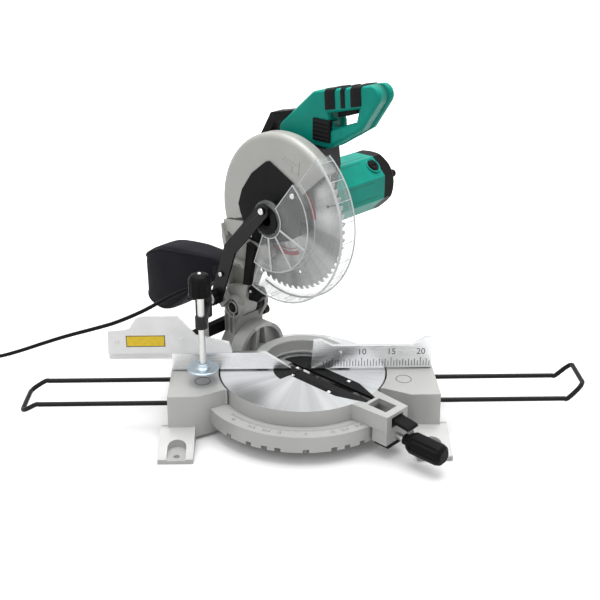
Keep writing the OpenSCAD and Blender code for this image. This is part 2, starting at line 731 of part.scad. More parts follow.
module bevel_lever() color("#161617") at_mitre() difference() {
    union() {
        rod_a(0, table_h + lock_up, bracket_rear - 22, bracket_rear - flat_gap, 13);
        face(bracket_rear - 21, bracket_rear - 8) polygon([[4, table_h + lock_up + 11],
            [4, table_h + lock_up - 11], [lever_end + 6, table_h + lock_up - 12],
            [lever_end, table_h + lock_up - 7], [lever_end + 4, table_h + lock_up + 7]]);
    }
    rod_a(0, table_h + lock_up, bracket_rear - 30, bracket_front, lock_bolt_d / 2 + run_gap);
}

// Head: guard and arm in one casting

guard_from = 42;
guard_to = 195;
guard_round = 11;
arm_v0 = -28;
arm_v1 = 2;
web_v0 = -22;
web_v1 = -9;
cover_hole = 44;
chute_a = -155;

// Half section of a drum with a round left edge, as (radius, left)
module drum_section(r, left, right, round_r) {
    translate([0, right]) square([r - round_r, left - right]);
    translate([0, right]) square([r, left - right - round_r]);
    translate([r - round_r, left - round_r]) circle(r = round_r);
}

module guard_drum(r, left, right, round_r, from, to) on_axis(blade_a, blade_z) rotate([0, 0, from])
    rotate_extrude(angle = to - from) drum_section(r, left, right, round_r);

module arm_outline() polygon([[chute_a, pivot_z + 10], [chute_a, pivot_z + 78], [chute_a - 9, pivot_z + 120],
    [chute_a - 10, pivot_z + 148], [-80, pivot_z + 160], [-52, pivot_z + 112], [-88, pivot_z + 78],
    [-106, pivot_z + 38], [pivot_a + ear_r - 1, pivot_z], [pivot_a, pivot_z - 4]]);

module cover_outline() translate([blade_a, blade_z]) polygon([[-25, 86], [-17, 88], [-9, 84], [46, 57], [53, 48],
    [50, -20], [25, -36], [-37, -58], [-64, -55], [-86, -12], [-90, 2], [-81, 28], [-58, 60]]);

module upper_guard() color("#b7b7af") at_mitre() difference() {
    union() {
        difference() {
            guard_drum(guard_r, -guard_left, -guard_right, guard_round, guard_from, guard_to);
            guard_drum(guard_r - guard_wall, -guard_left - guard_wall, -guard_right + guard_wall,
                guard_round - guard_wall, 0, 360);
        }
        difference() {
            slab(arm_v0, arm_v1) arm_outline();
            rod_v(blade_a, blade_z, arm_v0 - 1, arm_v1 + 1, guard_r - guard_wall);
        }
        difference() {
            slab(web_v0, web_v1) arm_outline();
            slab(web_v0 - 1, guard_left) offset(delta = 1) cover_outline();
            rod_v(blade_a, blade_z, web_v0 - 1, web_v1 + 1, cover_hole);
        }
        rod_v(pivot_a, pivot_z, ear_left + ear_t + flat_gap, arm_v1, ear_r - 1);
    }
    rod_v(pivot_a, pivot_z, ear_left, ear_right, pivot_d / 2 + run_gap);
    rod_v(blade_a, blade_z, guard_left - 1, guard_left + guard_wall + 1, cover_hole);
    rod_v(blade_a, blade_z, guard_right - guard_wall - 1, guard_right + 1, 30);
    slab(arm_v0 - 1, web_v1 - 5) {
        polygon([[chute_a + 6, pivot_z + 34], [chute_a + 6, pivot_z + 74], [-98, pivot_z + 74],
            [-112, pivot_z + 42]]);
        polygon([[chute_a + 6, pivot_z + 80], [chute_a, pivot_z + 118], [chute_a, pivot_z + 130],
            [-86, pivot_z + 92], [-96, pivot_z + 80]]);
    }
}

module centre_cover() color("#1a1a1b") at_mitre() difference() {
    union() {
        slab(cover_face, guard_left) cover_outline();
        rod_v(blade_a, blade_z, hub_face + 0.8, cover_face, 14);
    }
    rod_v(blade_a, blade_z, hub_face - 1, guard_left + 1, 10);
}

// Gear case with its bearing seats, and the pillar under the handle

seat_z = table_h + 384;
pillar_front = 22;

module pillar_outline() polygon([[blade_a - 40, blade_z], [-104, seat_z - 60], [-138, seat_z - 26],
    [-132, seat_z - 12], [-84, seat_z], [pillar_front, seat_z], [pillar_front + 4, seat_z - 30],
    [motor_a + 38, motor_z]]);

module gear_case() color("#1e1e1f") at_mitre() difference() {
    slab(guard_right, case_end) {
        translate([blade_a, blade_z]) circle(r = 46);
        translate([motor_a, motor_z]) circle(r = motor_d / 2 - 5);
        pillar_outline();
    }
    rod_v(blade_a, blade_z, guard_right - 1, case_end + 1, 9);
    rod_v(blade_a, blade_z, 16, 26, 17.5);
    rod_v(blade_a, blade_z, 26, 47, gear_module * gear_teeth / 2 + 4);
    rod_v(blade_a, blade_z, 48, case_end + 1, 14);
    rod_v(motor_a, motor_z, 26, 47, gear_module * pinion_teeth / 2 + 5);
    rod_v(motor_a, motor_z, 26, case_end + 1, 6);
    rod_v(motor_a, motor_z, 48, case_end + 1, 12);
    translate([29, -blade_a, blade_z - 60]) cylinder(h = 50, r = 2.5 + run_gap);
    slab(34, 52) polygon([[-116, seat_z - 24], [-94, seat_z - 12], [-94, seat_z - 26]]);
}

module spindle_lock() color("#19191a") at_mitre() translate([29, -blade_a, blade_z]) {
    translate([0, 0, -56]) cylinder(h = 45, r = 2.5);
    translate([0, 0, -60]) cylinder(h = 8, r = 7);
}

module bearings() color("#8f9194") at_mitre() {
    for (b = [[blade_a, blade_z, 16, 26, 8, 17.5], [blade_a, blade_z, 48, case_end - 1, 8, 14],
        [motor_a, motor_z, 48, case_end - 1, 4, 12], [motor_a, motor_z, motor_end + 6, motor_end + 14, 4, 10]])
        difference() {
            rod_v(b[0], b[1], b[2], b[3], b[5]);
            rod_v(b[0], b[1], b[2] - 1, b[3] + 1, b[4] + run_gap);
        }
}

// Motor

motor_bore = motor_d / 2 - 7;

module eight_sided(v0, v1) on_axis(motor_a, motor_z) translate([0, 0, -v1]) rotate([0, 0, 22.5])
    cylinder(h = v1 - v0, d = motor_d, $fn = 8);

module motor_housing() color("#1fa184") at_mitre() difference() {
    eight_sided(case_end, motor_end);
    rod_v(motor_a, motor_z, case_end + 3, motor_end + 1, motor_bore);
    rod_v(motor_a, motor_z, case_end - 1, case_end + 4, 13);
    rod_v(blade_a, blade_z, case_end - 1, case_end + 4, 9);
    brush_axes() cylinder(h = motor_d, r = 8);
}

brush_v = case_end + 104;

// The two brushes sit across the commutator
module brush_axes() for (t = [motor_lean, motor_lean + 180]) on_axis(motor_a, motor_z)
    translate([0, 0, -brush_v]) rotate([0, 0, t]) rotate([0, 90, 0]) children();

module brush_caps() color("#151516") at_mitre() brush_axes() difference() {
    translate([0, 0, motor_bore + 0.5]) cylinder(h = 5, r = 8);
    translate([-6, -1, motor_bore + 4]) cube([12, 2, 3]);
}

module brushes() color("#4a4a4c") at_mitre() brush_axes() {
    translate([-3, -5, commutator_r + 0.3]) cube([6, 10, 16]);
    translate([0, 0, commutator_r + 16.3]) cylinder(h = motor_bore + 0.5 - commutator_r - 16.3, r = 5);
}

commutator_r = 15;
core_r = 26;
slot_depth = motor_bore - core_r - 10;

module stator() color("#6e6a66") at_mitre() difference() {
    rod_v(motor_a, motor_z, case_end + 28, case_end + 78, motor_bore);
    rod_v(motor_a, motor_z, case_end + 27, case_end + 79, core_r + 1);
    for (t = [0, 180]) on_axis(motor_a, motor_z) rotate([0, 0, t + motor_lean])
        translate([core_r + 6, -14, -case_end - 80]) cube([slot_depth, 28, 60]);
}

module motor_end_cap() color("#1a1a1b") at_mitre() difference() {
    intersection() {
        eight_sided(motor_end, motor_end + cap_l);
        on_axis(motor_a, motor_z) translate([0, 0, -motor_end - cap_l]) rotate_extrude()
            polygon([[0, 0], [motor_d / 2 - 8, 0], [motor_d / 2 + 1, 12], [motor_d / 2 + 1, cap_l + 1],
                [0, cap_l + 1]]);
    }
    difference() {
        rod_v(motor_a, motor_z, motor_end - 1, motor_end + cap_l - 8, motor_d / 2 - 11);
        rod_v(motor_a, motor_z, motor_end + 5, motor_end + cap_l, 15);
    }
    rod_v(motor_a, motor_z, motor_end - 1, motor_end + 14, 10);
    for (i = [-3 : 3]) for (side = [-1, 1]) on_axis(motor_a, motor_z)
        translate([side * 24 - 9, 9 * i - 2, -motor_end - cap_l - 1]) cube([18, 4, 12]);
}

// Gear outline with straight-sided teeth; a tooth points along X
module gear_outline(teeth) {
    pitch_r = gear_module * teeth / 2;
    step = 360 / teeth;
    polygon([for (i = [0 : teeth - 1]) each [
        for (c = [[-0.34, -1.15], [-0.12, 0.8], [0.12, 0.8], [0.34, -1.15]])
            (pitch_r + gear_module * c[1]) * [cos(step * (i + c[0])), sin(step * (i + c[0]))]]]);
}

module drive_gear() color("#8a8a86") at_mitre() difference() {
    on_axis(blade_a, blade_z) translate([0, 0, -46]) rotate([0, 0, motor_lean + 180 / gear_teeth])
        linear_extrude(12) gear_outline(gear_teeth);
    rod_v(blade_a, blade_z, 30, 50, 8);
    for (i = [0 : 5]) rod_v(blade_a + 14 * cos(60 * i), blade_z + 14 * sin(60 * i), 30, 50, 3);
}

module armature() color("#9a6a48") at_mitre() {
    rod_v(motor_a, motor_z, 46, motor_end + 14, 4);
    on_axis(motor_a, motor_z) translate([0, 0, -47]) rotate([0, 0, motor_lean + 180])
        linear_extrude(14) gear_outline(pinion_teeth);
    difference() {
        rod_v(motor_a, motor_z, case_end + 28, case_end + 78, core_r);
        for (i = [0 : 11]) on_axis(motor_a, motor_z) rotate([0, 0, 30 * i])
            translate([core_r - 8, -1.5, -case_end - 79]) cube([10, 3, 52]);
    }
    rod_v(motor_a, motor_z, case_end + 94, case_end + 114, commutator_r);
}

module fan() color("#d9d9d2") at_mitre() difference() {
    union() {
        rod_v(motor_a, motor_z, case_end + 6, case_end + 8, motor_bore - 5);
        rod_v(motor_a, motor_z, case_end + 6, case_end + 20, 9);
        for (i = [0 : 11]) on_axis(motor_a, motor_z) rotate([0, 0, 30 * i])
            translate([8, -1, -case_end - 18]) cube([motor_bore - 14, 2, 11]);
    }
    rod_v(motor_a, motor_z, case_end, case_end + 30, 4);
}

// Blade and arbor

tooth_h = 6;
bore_r = 12.7;

module saw_blade() color("#a9abad") at_mitre() slab(-blade_t / 2, blade_t / 2) translate([blade_a, blade_z])
    difference() {
        step = 360 / blade_teeth;
        polygon([for (i = [0 : blade_teeth - 1]) each [
            for (c = [[0, 0], [0.12, -tooth_h], [0.45, -tooth_h], [0.72, -1.5]])
                (blade_d / 2 + c[1]) * [cos(step * (i + c[0])), sin(step * (i + c[0]))]]]);
        circle(r = bore_r);
        for (i = [0 : 3]) rotate([0, 0, 90 * i + 20]) {
            translate([blade_d / 2 - 30, -0.8]) square([32, 1.6]);
            translate([blade_d / 2 - 30, 0]) circle(r = 3);
        }
    }

module arbor() color("#8f8f8c") at_mitre() difference() {
    union() {
        rod_v(blade_a, blade_z, -7, case_end - 1, 8);
        on_axis(blade_a, blade_z) translate([0, 0, 7]) cylinder(h = 8, r = 9.5, $fn = 6);
    }
    for (t = [0, 90]) on_axis(blade_a, blade_z) translate([0, 0, -29]) rotate([0, 0, t]) rotate([0, 90, 0])
        cylinder(h = 20, r = 2.8, center = true);
}

module flanges() color("#7e7e7c") at_mitre() difference() {
    union() {
        rod_v(blade_a, blade_z, blade_t / 2, 7, 24);
        rod_v(blade_a, blade_z, -blade_t / 2, blade_t / 2, bore_r);
        rod_v(blade_a, blade_z, -7, -blade_t / 2, 24);
    }
    rod_v(blade_a, blade_z, -8, 8, 8);
}

// Clear lower guard and its hub

clear_from = -112;
clear_to = 52;
hub_out = 24;
step_r = 88;

module lower_guard() color("#dfe8ea", 0.45) at_mitre() on_axis(blade_a, blade_z) {
    rotate([0, 0, clear_from]) rotate_extrude(angle = clear_to - clear_from) {
        translate([hub_out + 4, -clear_left - clear_wall]) square([step_r - hub_out - 4, clear_wall]);
        translate([step_r - clear_wall, -clear_step - clear_wall])
            square([clear_wall, clear_step - clear_left + clear_wall]);
        translate([step_r - clear_wall, -clear_step - clear_wall])
            square([clear_r - step_r + clear_wall, clear_wall]);
        translate([clear_r - clear_wall, -clear_right]) square([clear_wall, clear_right - clear_step]);
        translate([clear_r - 7, -clear_right]) square([7, clear_wall]);
    }
    difference() {
        translate([0, 0, -clear_left - clear_wall]) cylinder(h = clear_wall + 2, r = hub_out + 7);
        translate([0, 0, -clear_left - clear_wall - 1]) cylinder(h = clear_wall + 4, r = hub_out + run_gap);
    }
    for (t = [-20, -52, -84]) rotate([0, 0, t]) translate([hub_out + 5, -2, -clear_left - 0.5])
        cube([step_r - hub_out - 6, 4, 2.5]);
    for (i = [0 : 12]) rotate([0, 0, clear_from + 4 + 13 * i])
        translate([clear_r - 6, -1, -clear_right + 1]) cube([5, 2, clear_right - clear_step - 2]);
}

module guard_hub() color("#171718") at_mitre() difference() {
    rod_v(blade_a, blade_z, hub_face, cover_face - 1.2, hub_out);
    rod_v(blade_a, blade_z, hub_face - 1, cover_face, 14 + run_gap);
}

module link_bar() color("#1b1b1c") at_mitre() {
    bend = [link_a + 37, link_z + 97];
    difference() {
        slab(link_in - link_t, link_in) union() {
            strip([link_a, link_z], bend, 26);
            strip(bend, [crank_a, crank_z], 24);
            translate([link_a, link_z]) circle(r = 13);
            translate(bend) circle(r = 12.5);
            translate([crank_a, crank_z]) circle(r = 12);
        }
        rod_v(link_a, link_z, link_in - link_t - 1, link_in + 1, 5 + run_gap);
    }
    rod_v(crank_a, crank_z, link_in - link_t - 3, link_in - link_t, 6);
    rod_v(link_a + 15, link_z + 46, link_in - link_t - 2.5, link_in - link_t, 4.5);
}

// Handle: a closed loop moulded in two halves

handle_mid = handle_v + handle_w / 2;
neck = [-64, 398];
neck_r = 16;
grip_rear = [2, 453];
grip_rear_r = grip_bar / 2 + 1;
grip_nose = [108, 478];
grip_nose_r = grip_bar / 2 - 1;
tip = [87, 430];
tip_r = 7;
root = [22, 398];
root_r = 14;

// Rear edge of the handle's neck, where the carry handle joins it
neck_run = grip_rear - neck;
neck_lean = atan2(neck_run[1], neck_run[0]) + acos((neck_r - grip_rear_r) / norm(neck_run));
neck_out = [cos(neck_lean), sin(neck_lean)];

module pad(a, z, r, out = 0) {
    rod_v(a, table_h + z, handle_v - out, handle_v + handle_w + out, r - 4, $fn = 32);
    rod_v(a, table_h + z, handle_v + 4 - out, handle_v + handle_w - 4 + out, r, $fn = 32);
}

module top_bar(extra) hull() {
    pad(grip_rear[0], grip_rear[1], grip_rear_r + extra, extra);
    pad(grip_nose[0], grip_nose[1], grip_nose_r + extra, extra);
}

module handle_loop() {
    hull() {
        pad(neck[0], neck[1], neck_r);
        pad(root[0], root[1], root_r);
        pad(root[0], root[1] + 26, root_r - 2);
        pad(grip_rear[0], grip_rear[1], grip_rear_r);
    }
    top_bar(0);
    hull() {
        pad(grip_nose[0], grip_nose[1], grip_nose_r);
        pad(tip[0], tip[1], tip_r);
    }
    hull() {
        pad(tip[0], tip[1], tip_r);
        pad(root[0], root[1], root_r);
    }
}

module handle_half(v0, v1) difference() {
    intersection() {
        handle_loop();
        slab(v0, v1) translate([-120, seat_z]) square([300, 160]);
    }
    slab(handle_mid - 8, handle_mid + 8) trigger_outline(1);
    slab(handle_v - 1, handle_v + 14) translate([-3, seat_z + 11]) square([36, 35]);
}

module handle_left() color("#20a586") at_mitre() handle_half(handle_v, handle_mid);

module handle_right() color("#20a586") at_mitre() handle_half(handle_mid, handle_v + handle_w);

module rubber_grip() color("#1d1d1f") at_mitre() difference() {
    intersection() {
        top_bar(1.2);
        slab(handle_v - 2, handle_v + handle_w + 2) union() {
            for (b = [[26, 46], [58, 66], [78, 98]]) polygon([[b[0], seat_z], [b[1], seat_z],
                [b[1] - 12, seat_z + 160], [b[0] - 12, seat_z + 160]]);
        }
    }
    top_bar(0);
    slab(handle_v - 3, handle_v + handle_w + 3) polygon([[0, seat_z], [130, seat_z], [130, table_h + 471],
        [0, table_h + 440]]);
}

module trigger_outline(gap) polygon([[36 - gap, table_h + 434 - gap], [36 - gap, table_h + 452 + 4 * gap],
    [72 + gap, table_h + 460 + 4 * gap], [72 + gap, table_h + 445 - gap], [58, table_h + 440 - gap]]);

module trigger() color("#171718") at_mitre() slab(handle_mid - 7, handle_mid + 7) trigger_outline(0);

module lock_button() color("#19191a") at_mitre() {
    slab(handle_v - 3, handle_v + 8) translate([-2.5, seat_z + 11.5]) square([35, 34]);
    for (i = [0 : 4]) slab(handle_v - 4.2, handle_v - 3) translate([0, seat_z + 14 + 6.5 * i]) square([30, 3]);
}

module carry_handle() color("#1b1b1c") at_mitre() slab(handle_v + 5, handle_v + 31) difference() {
    union() {
        strip([-127, seat_z - 20], [-97, seat_z + 30], carry_t);
        strip([-97, seat_z + 30], [-40, seat_z + 43], carry_t);
        translate([-97, seat_z + 30]) circle(d = carry_t + 0.6);
    }
    pillar_outline();
    translate([0, table_h]) polygon([neck + neck_r * neck_out, grip_rear + grip_rear_r * neck_out,
        grip_rear - carry_cut * neck_out, neck - carry_cut * neck_out]);
}

carry_t = 15;
carry_cut = 2.5 * neck_r;

// Dust chute and bag behind the arm

chute_v = -2;
chute_z = pivot_z + 46;
chute_r = 17;

module dust_chute() color("#1a1a1b") at_mitre() difference() {
    union() {
        rod_a(chute_v, chute_z, chute_a - 52, chute_a, chute_r);
        rod_a(chute_v, chute_z, chute_a - 6, chute_a, chute_r + 6);
    }
    rod_a(chute_v, chute_z, chute_a - 53, chute_a - 8, chute_r - 3);
}

module dust_bag() color("#1c1b20") at_mitre() difference() {
    intersection() {
        slab(chute_v - 34, chute_v + 34) polygon([[-180, chute_z + 21], [-205, chute_z + 25],
            [-330, table_h + 148], [-372, table_h + 128], [-408, table_h + 100],
            [-411, table_h + 60], [-402, table_h + 24], [-362, table_h + 12], [-320, table_h + 18],
            [-262, table_h + 60], [-205, chute_z - 25], [-180, chute_z - 21]]);
        translate([chute_v, 0, 0]) linear_extrude(4 * table_h) polygon([[-20, 178], [20, 178], [24, 205],
            [33, 260], [34, 340], [26, 400], [14, 414], [-14, 414],
            [-26, 400], [-34, 340], [-33, 260], [-24, 205]]);
    }
    rod_a(chute_v, chute_z, chute_a - 55, -170, chute_r);
}

// Mains cord: gland on the bevel arm, free run to the bench, and the stored coil

gland_v = -36;
gland_z = link_z - 8;
gland_seat = link_a - 13;
gland_end = gland_seat - 32;

module cord_gland() color("#151516") at_mitre() translate([gland_v, -gland_seat, gland_z]) rotate([-90, 0, 0])
    cylinder(h = gland_seat - gland_end, r1 = 7, r2 = cord_d / 2 + 1);

// Start of the free cord, in the frame of the bench
cord_from = [gland_end * sin(mitre_rest) + gland_v * cos(mitre_rest),
    gland_v * sin(mitre_rest) - gland_end * cos(mitre_rest), gland_z];
cord_back = [-sin(mitre_rest), cos(mitre_rest), 0];
cord_points = concat([cord_from, cord_from + 8 * cord_back, cord_from + 16 * cord_back],
    [[-194, 137, 174], [-213, 137, 168], [-235, 132, 159], [-258, 126, 148], [-285, 121, 135], [-330, 124, 114],
        [-371, 132, 98], [-426, 148, 76], [-476, 162, 54], [-520, 174, 34], [-560, 187, 17], [-590, 198.5, 8],
        [-615, 206.5, 5], [-640, 214.5, 5]]);

module cord_run() color("#131314") sweep(smooth(cord_points, 3), cord_d / 2, 8);

// The coil spirals in, climbs a layer and spirals out again; its tie lifts it off the bench
coil_r = 50;
coil_pitch = 8.4;
coil_turns = 2.5;
coil_start = 72.3;
tie_t = 1.2;
coil_z = tie_t + flat_gap + cord_d / 2;
coil_end = cord_points[len(cord_points) - 1];
lead_dir = [-sin(coil_start), cos(coil_start), 0];
coil_lead = coil_end + (cord_d + flat_gap) * lead_dir;
coil_mid = [coil_lead[0], coil_lead[1], 0] - coil_r * [cos(coil_start), sin(coil_start), 0];
coil_steps = 24;

function coil_radius(turn) = coil_r - coil_pitch * (turn < coil_turns + 0.25 ? min(turn, coil_turns)
    : min(2 * coil_turns + 0.5 - turn, coil_turns));
function coil_height(turn) = coil_z + coil_pitch * min(max((turn - coil_turns) / 0.5, 0), 1);
function coil_point(turn) = let (t = coil_start + 360 * turn)
    coil_mid + [coil_radius(turn) * cos(t), coil_radius(turn) * sin(t), coil_height(turn)];
coil_total = 2 * coil_turns + 0.5;
coil_turn_points = [for (i = [0 : coil_steps * coil_total]) coil_point(i / coil_steps)];
tail_lean = coil_start + 360 * coil_total + 90;
tail_dir = [cos(tail_lean), sin(tail_lean), 0];
tail_l = 14;
plug_r = 11;
tail_drop = [0, 0, plug_r - coil_height(coil_total)];
tail_end = coil_point(coil_total) + tail_l * tail_dir + tail_drop;
coil_path = concat([coil_end + flat_gap * lead_dir], coil_turn_points,
    [tail_end - (tail_l * tail_dir + tail_drop) / 2, tail_end, tail_end + 2 * tail_dir]);

// Least clear distance between one turn and another, on the points of the coil
coil_last = len(coil_turn_points) - 1;
coil_gap = min([for (i = [0 : coil_last]) for (j = [i + coil_steps / 2 : 1 : coil_last])
    norm(coil_turn_points[i] - coil_turn_points[j])]) - cord_d;
echo(coil_gap = coil_gap);

module cord_coil() color("#131314") sweep(coil_path, cord_d / 2, 6);

module cord_tie() color("#202022") for (t = [30, 210]) translate(coil_mid) rotate([0, 0, t]) {
    inner = coil_r - coil_pitch * coil_turns - cord_d / 2 - 1;
    outer = coil_r + cord_d / 2 + 1;
    high = coil_z + coil_pitch + cord_d / 2 + flat_gap;
    translate([0, 3, 0]) rotate([90, 0, 0]) linear_extrude(6) difference() {
        translate([inner - tie_t, 0]) square([outer - inner + 2 * tie_t, high + tie_t]);
        translate([inner, tie_t]) square([outer - inner, high - tie_t]);
    }
}

module at_plug() translate(coil_path[len(coil_path) - 1]) rotate([0, 0, tail_lean]) rotate([0, 90, 0]) children();

module plug() color("#151516") at_plug() {
    cylinder(h = 16, r1 = cord_d / 2 + 1, r2 = cord_d / 2 + 2);
    translate([0, 0, 16]) cylinder(h = 6, r1 = cord_d / 2 + 3, r2 = plug_r);
    translate([0, 0, 22]) cylinder(h = 18, r = plug_r);
    for (y = [-7, 7]) translate([0, y, 40]) cylinder(h = 19, r = 2.2);
}

base_casting();
left_fence();
right_fence();
fence_bolts();
sliding_fence();
support_left();
support_right();
clamp_post();
clamp_arm();
clamp_screw();
clamp_knob();
clamp_foot();
turntable();
kerf_boards();
lock_plate();
table_bolt();
bevel_pivot_bolt();
bevel_lock_bolt();
mitre_screw();
mitre_grip();
mitre_lever();
bevel_lever();
bevel_arm();
pivot_shaft();
return_spring();
stop_pin();
link_stud();
link_knob();
upper_guard();
centre_cover();
gear_case();
spindle_lock();
motor_housing();
motor_end_cap();
brush_caps();
brushes();
stator();
bearings();
handle_left();
handle_right();
rubber_grip();
trigger();
lock_button();
carry_handle();
dust_chute();
dust_bag();
saw_blade();
arbor();
flanges();
drive_gear();
armature();
fan();
lower_guard();
guard_hub();
link_bar();
cord_gland();
cord_run();
cord_coil();
cord_tie();
plug();
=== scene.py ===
"""Dresses the compound mitre saw: finishes, cord, dust bag, scales, plates and small fittings."""

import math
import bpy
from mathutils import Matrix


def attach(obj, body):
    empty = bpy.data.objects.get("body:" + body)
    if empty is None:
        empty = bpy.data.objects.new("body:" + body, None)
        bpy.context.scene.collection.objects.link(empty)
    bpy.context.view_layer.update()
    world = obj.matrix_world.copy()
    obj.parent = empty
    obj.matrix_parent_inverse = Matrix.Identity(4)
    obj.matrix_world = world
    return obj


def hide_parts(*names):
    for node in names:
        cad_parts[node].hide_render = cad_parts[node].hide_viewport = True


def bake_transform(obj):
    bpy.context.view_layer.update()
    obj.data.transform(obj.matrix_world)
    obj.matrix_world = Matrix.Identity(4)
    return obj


bl_info = {
    "name": "Mitre saw dressing",
    "version": (1, 0, 0),
    "blender": (4, 5, 0),
    "location": "3D View > Sidebar > Mitre saw",
    "description": "Finishes, cord, dust bag, scales and small fittings of a compound mitre saw",
    "category": "Object",
}

import bmesh
import bpy
from bpy.props import FloatProperty, FloatVectorProperty, PointerProperty
from mathutils import Matrix, Vector, noise

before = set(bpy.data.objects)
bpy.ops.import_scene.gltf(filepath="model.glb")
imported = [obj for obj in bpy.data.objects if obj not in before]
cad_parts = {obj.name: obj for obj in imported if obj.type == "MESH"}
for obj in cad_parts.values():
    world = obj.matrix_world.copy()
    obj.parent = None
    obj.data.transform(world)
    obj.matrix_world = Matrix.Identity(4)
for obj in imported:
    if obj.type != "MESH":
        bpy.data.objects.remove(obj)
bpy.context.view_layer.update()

MM = 0.001
FULL_TURN = 2 * math.pi

# The table stands turned to the right by this angle
MITRE = math.radians(45)
AT_MITRE = Matrix.Rotation(MITRE, 4, "Z")

# Frames for details: on faces that look left and right along the blade's axis, and at the user
LEFT_SIDE = Matrix(((0, 0, -1, 0), (-1, 0, 0, 0), (0, 1, 0, 0), (0, 0, 0, 1)))
RIGHT_SIDE = LEFT_SIDE @ Matrix.Rotation(math.pi, 4, "Y")
FACING = Matrix(((1, 0, 0, 0), (0, 0, -1, 0), (0, 1, 0, 0), (0, 0, 0, 1)))

# Main places of the saw in millimetres, in the frame that turns with the table: A towards the user, Z up
TABLE_H = 80
TABLE_R = 140.2
BLADE_A = -40
BLADE_Z = 350
PIVOT_A = -130
PIVOT_Z = 168
MOTOR_A = -23.93
MOTOR_Z = 369.15
LINK_A = -158
LINK_Z = 184


def colour(name, description, default):
    """A colour that the user may change."""
    return FloatVectorProperty(
        name=name, description=description, default=default, subtype="COLOR", size=3, min=0, max=1
    )


def length(name, description, default):
    """A length that the user may change, in metres."""
    return FloatProperty(name=name, description=description, default=default, unit="LENGTH", precision=4)


def lamp_power(name, description, default):
    """The power of a lamp that the user may change, in watts."""
    return FloatProperty(name=name, description=description, default=default, unit="POWER")


class SawColours(bpy.types.PropertyGroup):
    """Colours of the saw's finishes."""

    casting: colour("Casting", "Grey paint of the base and the table's sides", (0.46, 0.462, 0.45))
    guard: colour("Guard", "Grey paint of the fixed blade guard", (0.41, 0.41, 0.385))
    machined: colour("Machined metal", "Bare machined top of the table", (0.66, 0.67, 0.68))
    fence: colour("Fence metal", "Drawn aluminium of the fences", (0.82, 0.83, 0.84))
    green: colour("Green plastic", "Moulded plastic of the handle and motor", (0.003, 0.265, 0.205))
    black: colour("Black plastic", "Moulded plastic of knobs, covers and levers", (0.006, 0.006, 0.0065))
    rubber: colour("Rubber", "Soft bands of the grip", (0.009, 0.009, 0.0095))
    cloth: colour("Bag cloth", "Woven cloth of the dust bag", (0.0085, 0.008, 0.0115))
    white: colour("White plastic", "Sliding fence", (0.96, 0.96, 0.955))
    steel: colour("Steel", "Plated bolts, shafts and screws", (0.6, 0.6, 0.585))
    blade: colour("Blade steel", "Ground steel of the saw blade", (0.5, 0.5, 0.5))
    zinc: colour("Zinc", "Plated foot of the clamp", (0.5, 0.58, 0.64))
    yellow: colour("Yellow plate", "Bare plate on the sliding fence", (0.86, 0.6, 0.02))
    red: colour("Red print", "Printed arcs of the blade", (0.42, 0.02, 0.03))
    ink: colour("Dark print", "Ruler marks", (0.05, 0.05, 0.052))


class SawSizes(bpy.types.PropertyGroup):
    """Sizes of the pieces that dress the saw, and the camera and lamps."""

    cord: length("Cord", "Diameter of the mains cord", 0.007)
    tick: length("Tick width", "Width of a ruler tick", 0.0011)
    digit: length("Figure size", "Type size of the ruler's figures", 0.015625)
    piping: length("Piping", "Radius of the bag's edge piping", 0.0016)
    lens: FloatProperty(name="Lens", description="Focal length of the camera", default=60.0, unit="CAMERA")
    key_power: lamp_power("Key light", "Power of the main light", 23.0)
    fill_power: lamp_power("Fill light", "Power of the side light", 7.0)
    top_power: lamp_power("Top light", "Power of the light above", 88.0)
    sky: FloatProperty(name="Sky", description="Strength of the even light from all round", default=0.37)


def colours():
    """The colours as the user has set them."""
    return bpy.context.scene.saw_colours


def sizes():
    """The sizes as the user has set them."""
    return bpy.context.scene.saw_sizes


# Places


def shift(x, y, z):
    """A move in millimetres."""
    return Matrix.Translation(Vector((x, y, z)) * MM)


def turn_z(degree):
    """A turn about the upright axis."""
    return Matrix.Rotation(math.radians(degree), 4, "Z")


def point(v, a, z):
    """A point of the turned table's frame, in metres."""
    return AT_MITRE @ (Vector((v, -a, z)) * MM)


def on_top(v, a, z):
    """Place on an upward face of the turned table."""
    return AT_MITRE @ shift(v, -a, z)


def on_left(v, a, z):
    """Place on a face that looks left along the blade's axis."""
    return on_top(v, a, z) @ LEFT_SIDE


def on_right(v, a, z):
    """Place on a face that looks right along the blade's axis."""
    return on_top(v, a, z) @ RIGHT_SIDE


def on_front(v, a, z):
    """Place on a face of the turned table that looks at the user."""
    return on_top(v, a, z) @ FACING


def on_fence(x, y, z):
    """Place on a fence face that looks at the user."""
    return shift(x, y, z) @ FACING


# Shader nodes


def shader(name):
    """A new material, its node tree and its shader."""
    finish = bpy.data.materials.new(name)
    finish.use_nodes = True
    tree = finish.node_tree
    return finish, tree, tree.nodes["Principled BSDF"]


def add_node(tree, kind, inputs=None, **options):
    """A node with its options and the plain values of its sockets."""
    made = tree.nodes.new(kind)
    for key, value in options.items():
        setattr(made, key, value)
    for key, value in (inputs or {}).items():
        made.inputs[key].default_value = value
    return made


def placed(tree, scale=(1, 1, 1), turn=(0, 0, 0), centre=(0, 0, 0)):
    """Object coordinates, moved to a centre, then turned and stretched."""
    source = add_node(tree, "ShaderNodeTexCoord")
    moved = add_node(tree, "ShaderNodeVectorMath", {1: centre}, operation="SUBTRACT")
    mapped = add_node(tree, "ShaderNodeMapping", {"Rotation": turn, "Scale": scale})
    tree.links.new(source.outputs["Object"], moved.inputs[0])
    tree.links.new(moved.outputs[0], mapped.inputs["Vector"])
    return mapped.outputs["Vector"]


def noise_of(tree, vector, scale, detail=3.0, roughness=0.5):
    """Soft random patches."""
    made = add_node(tree, "ShaderNodeTexNoise", {"Scale": scale, "Detail": detail, "Roughness": roughness})
    tree.links.new(vector, made.inputs["Vector"])
    return made.outputs["Fac"]


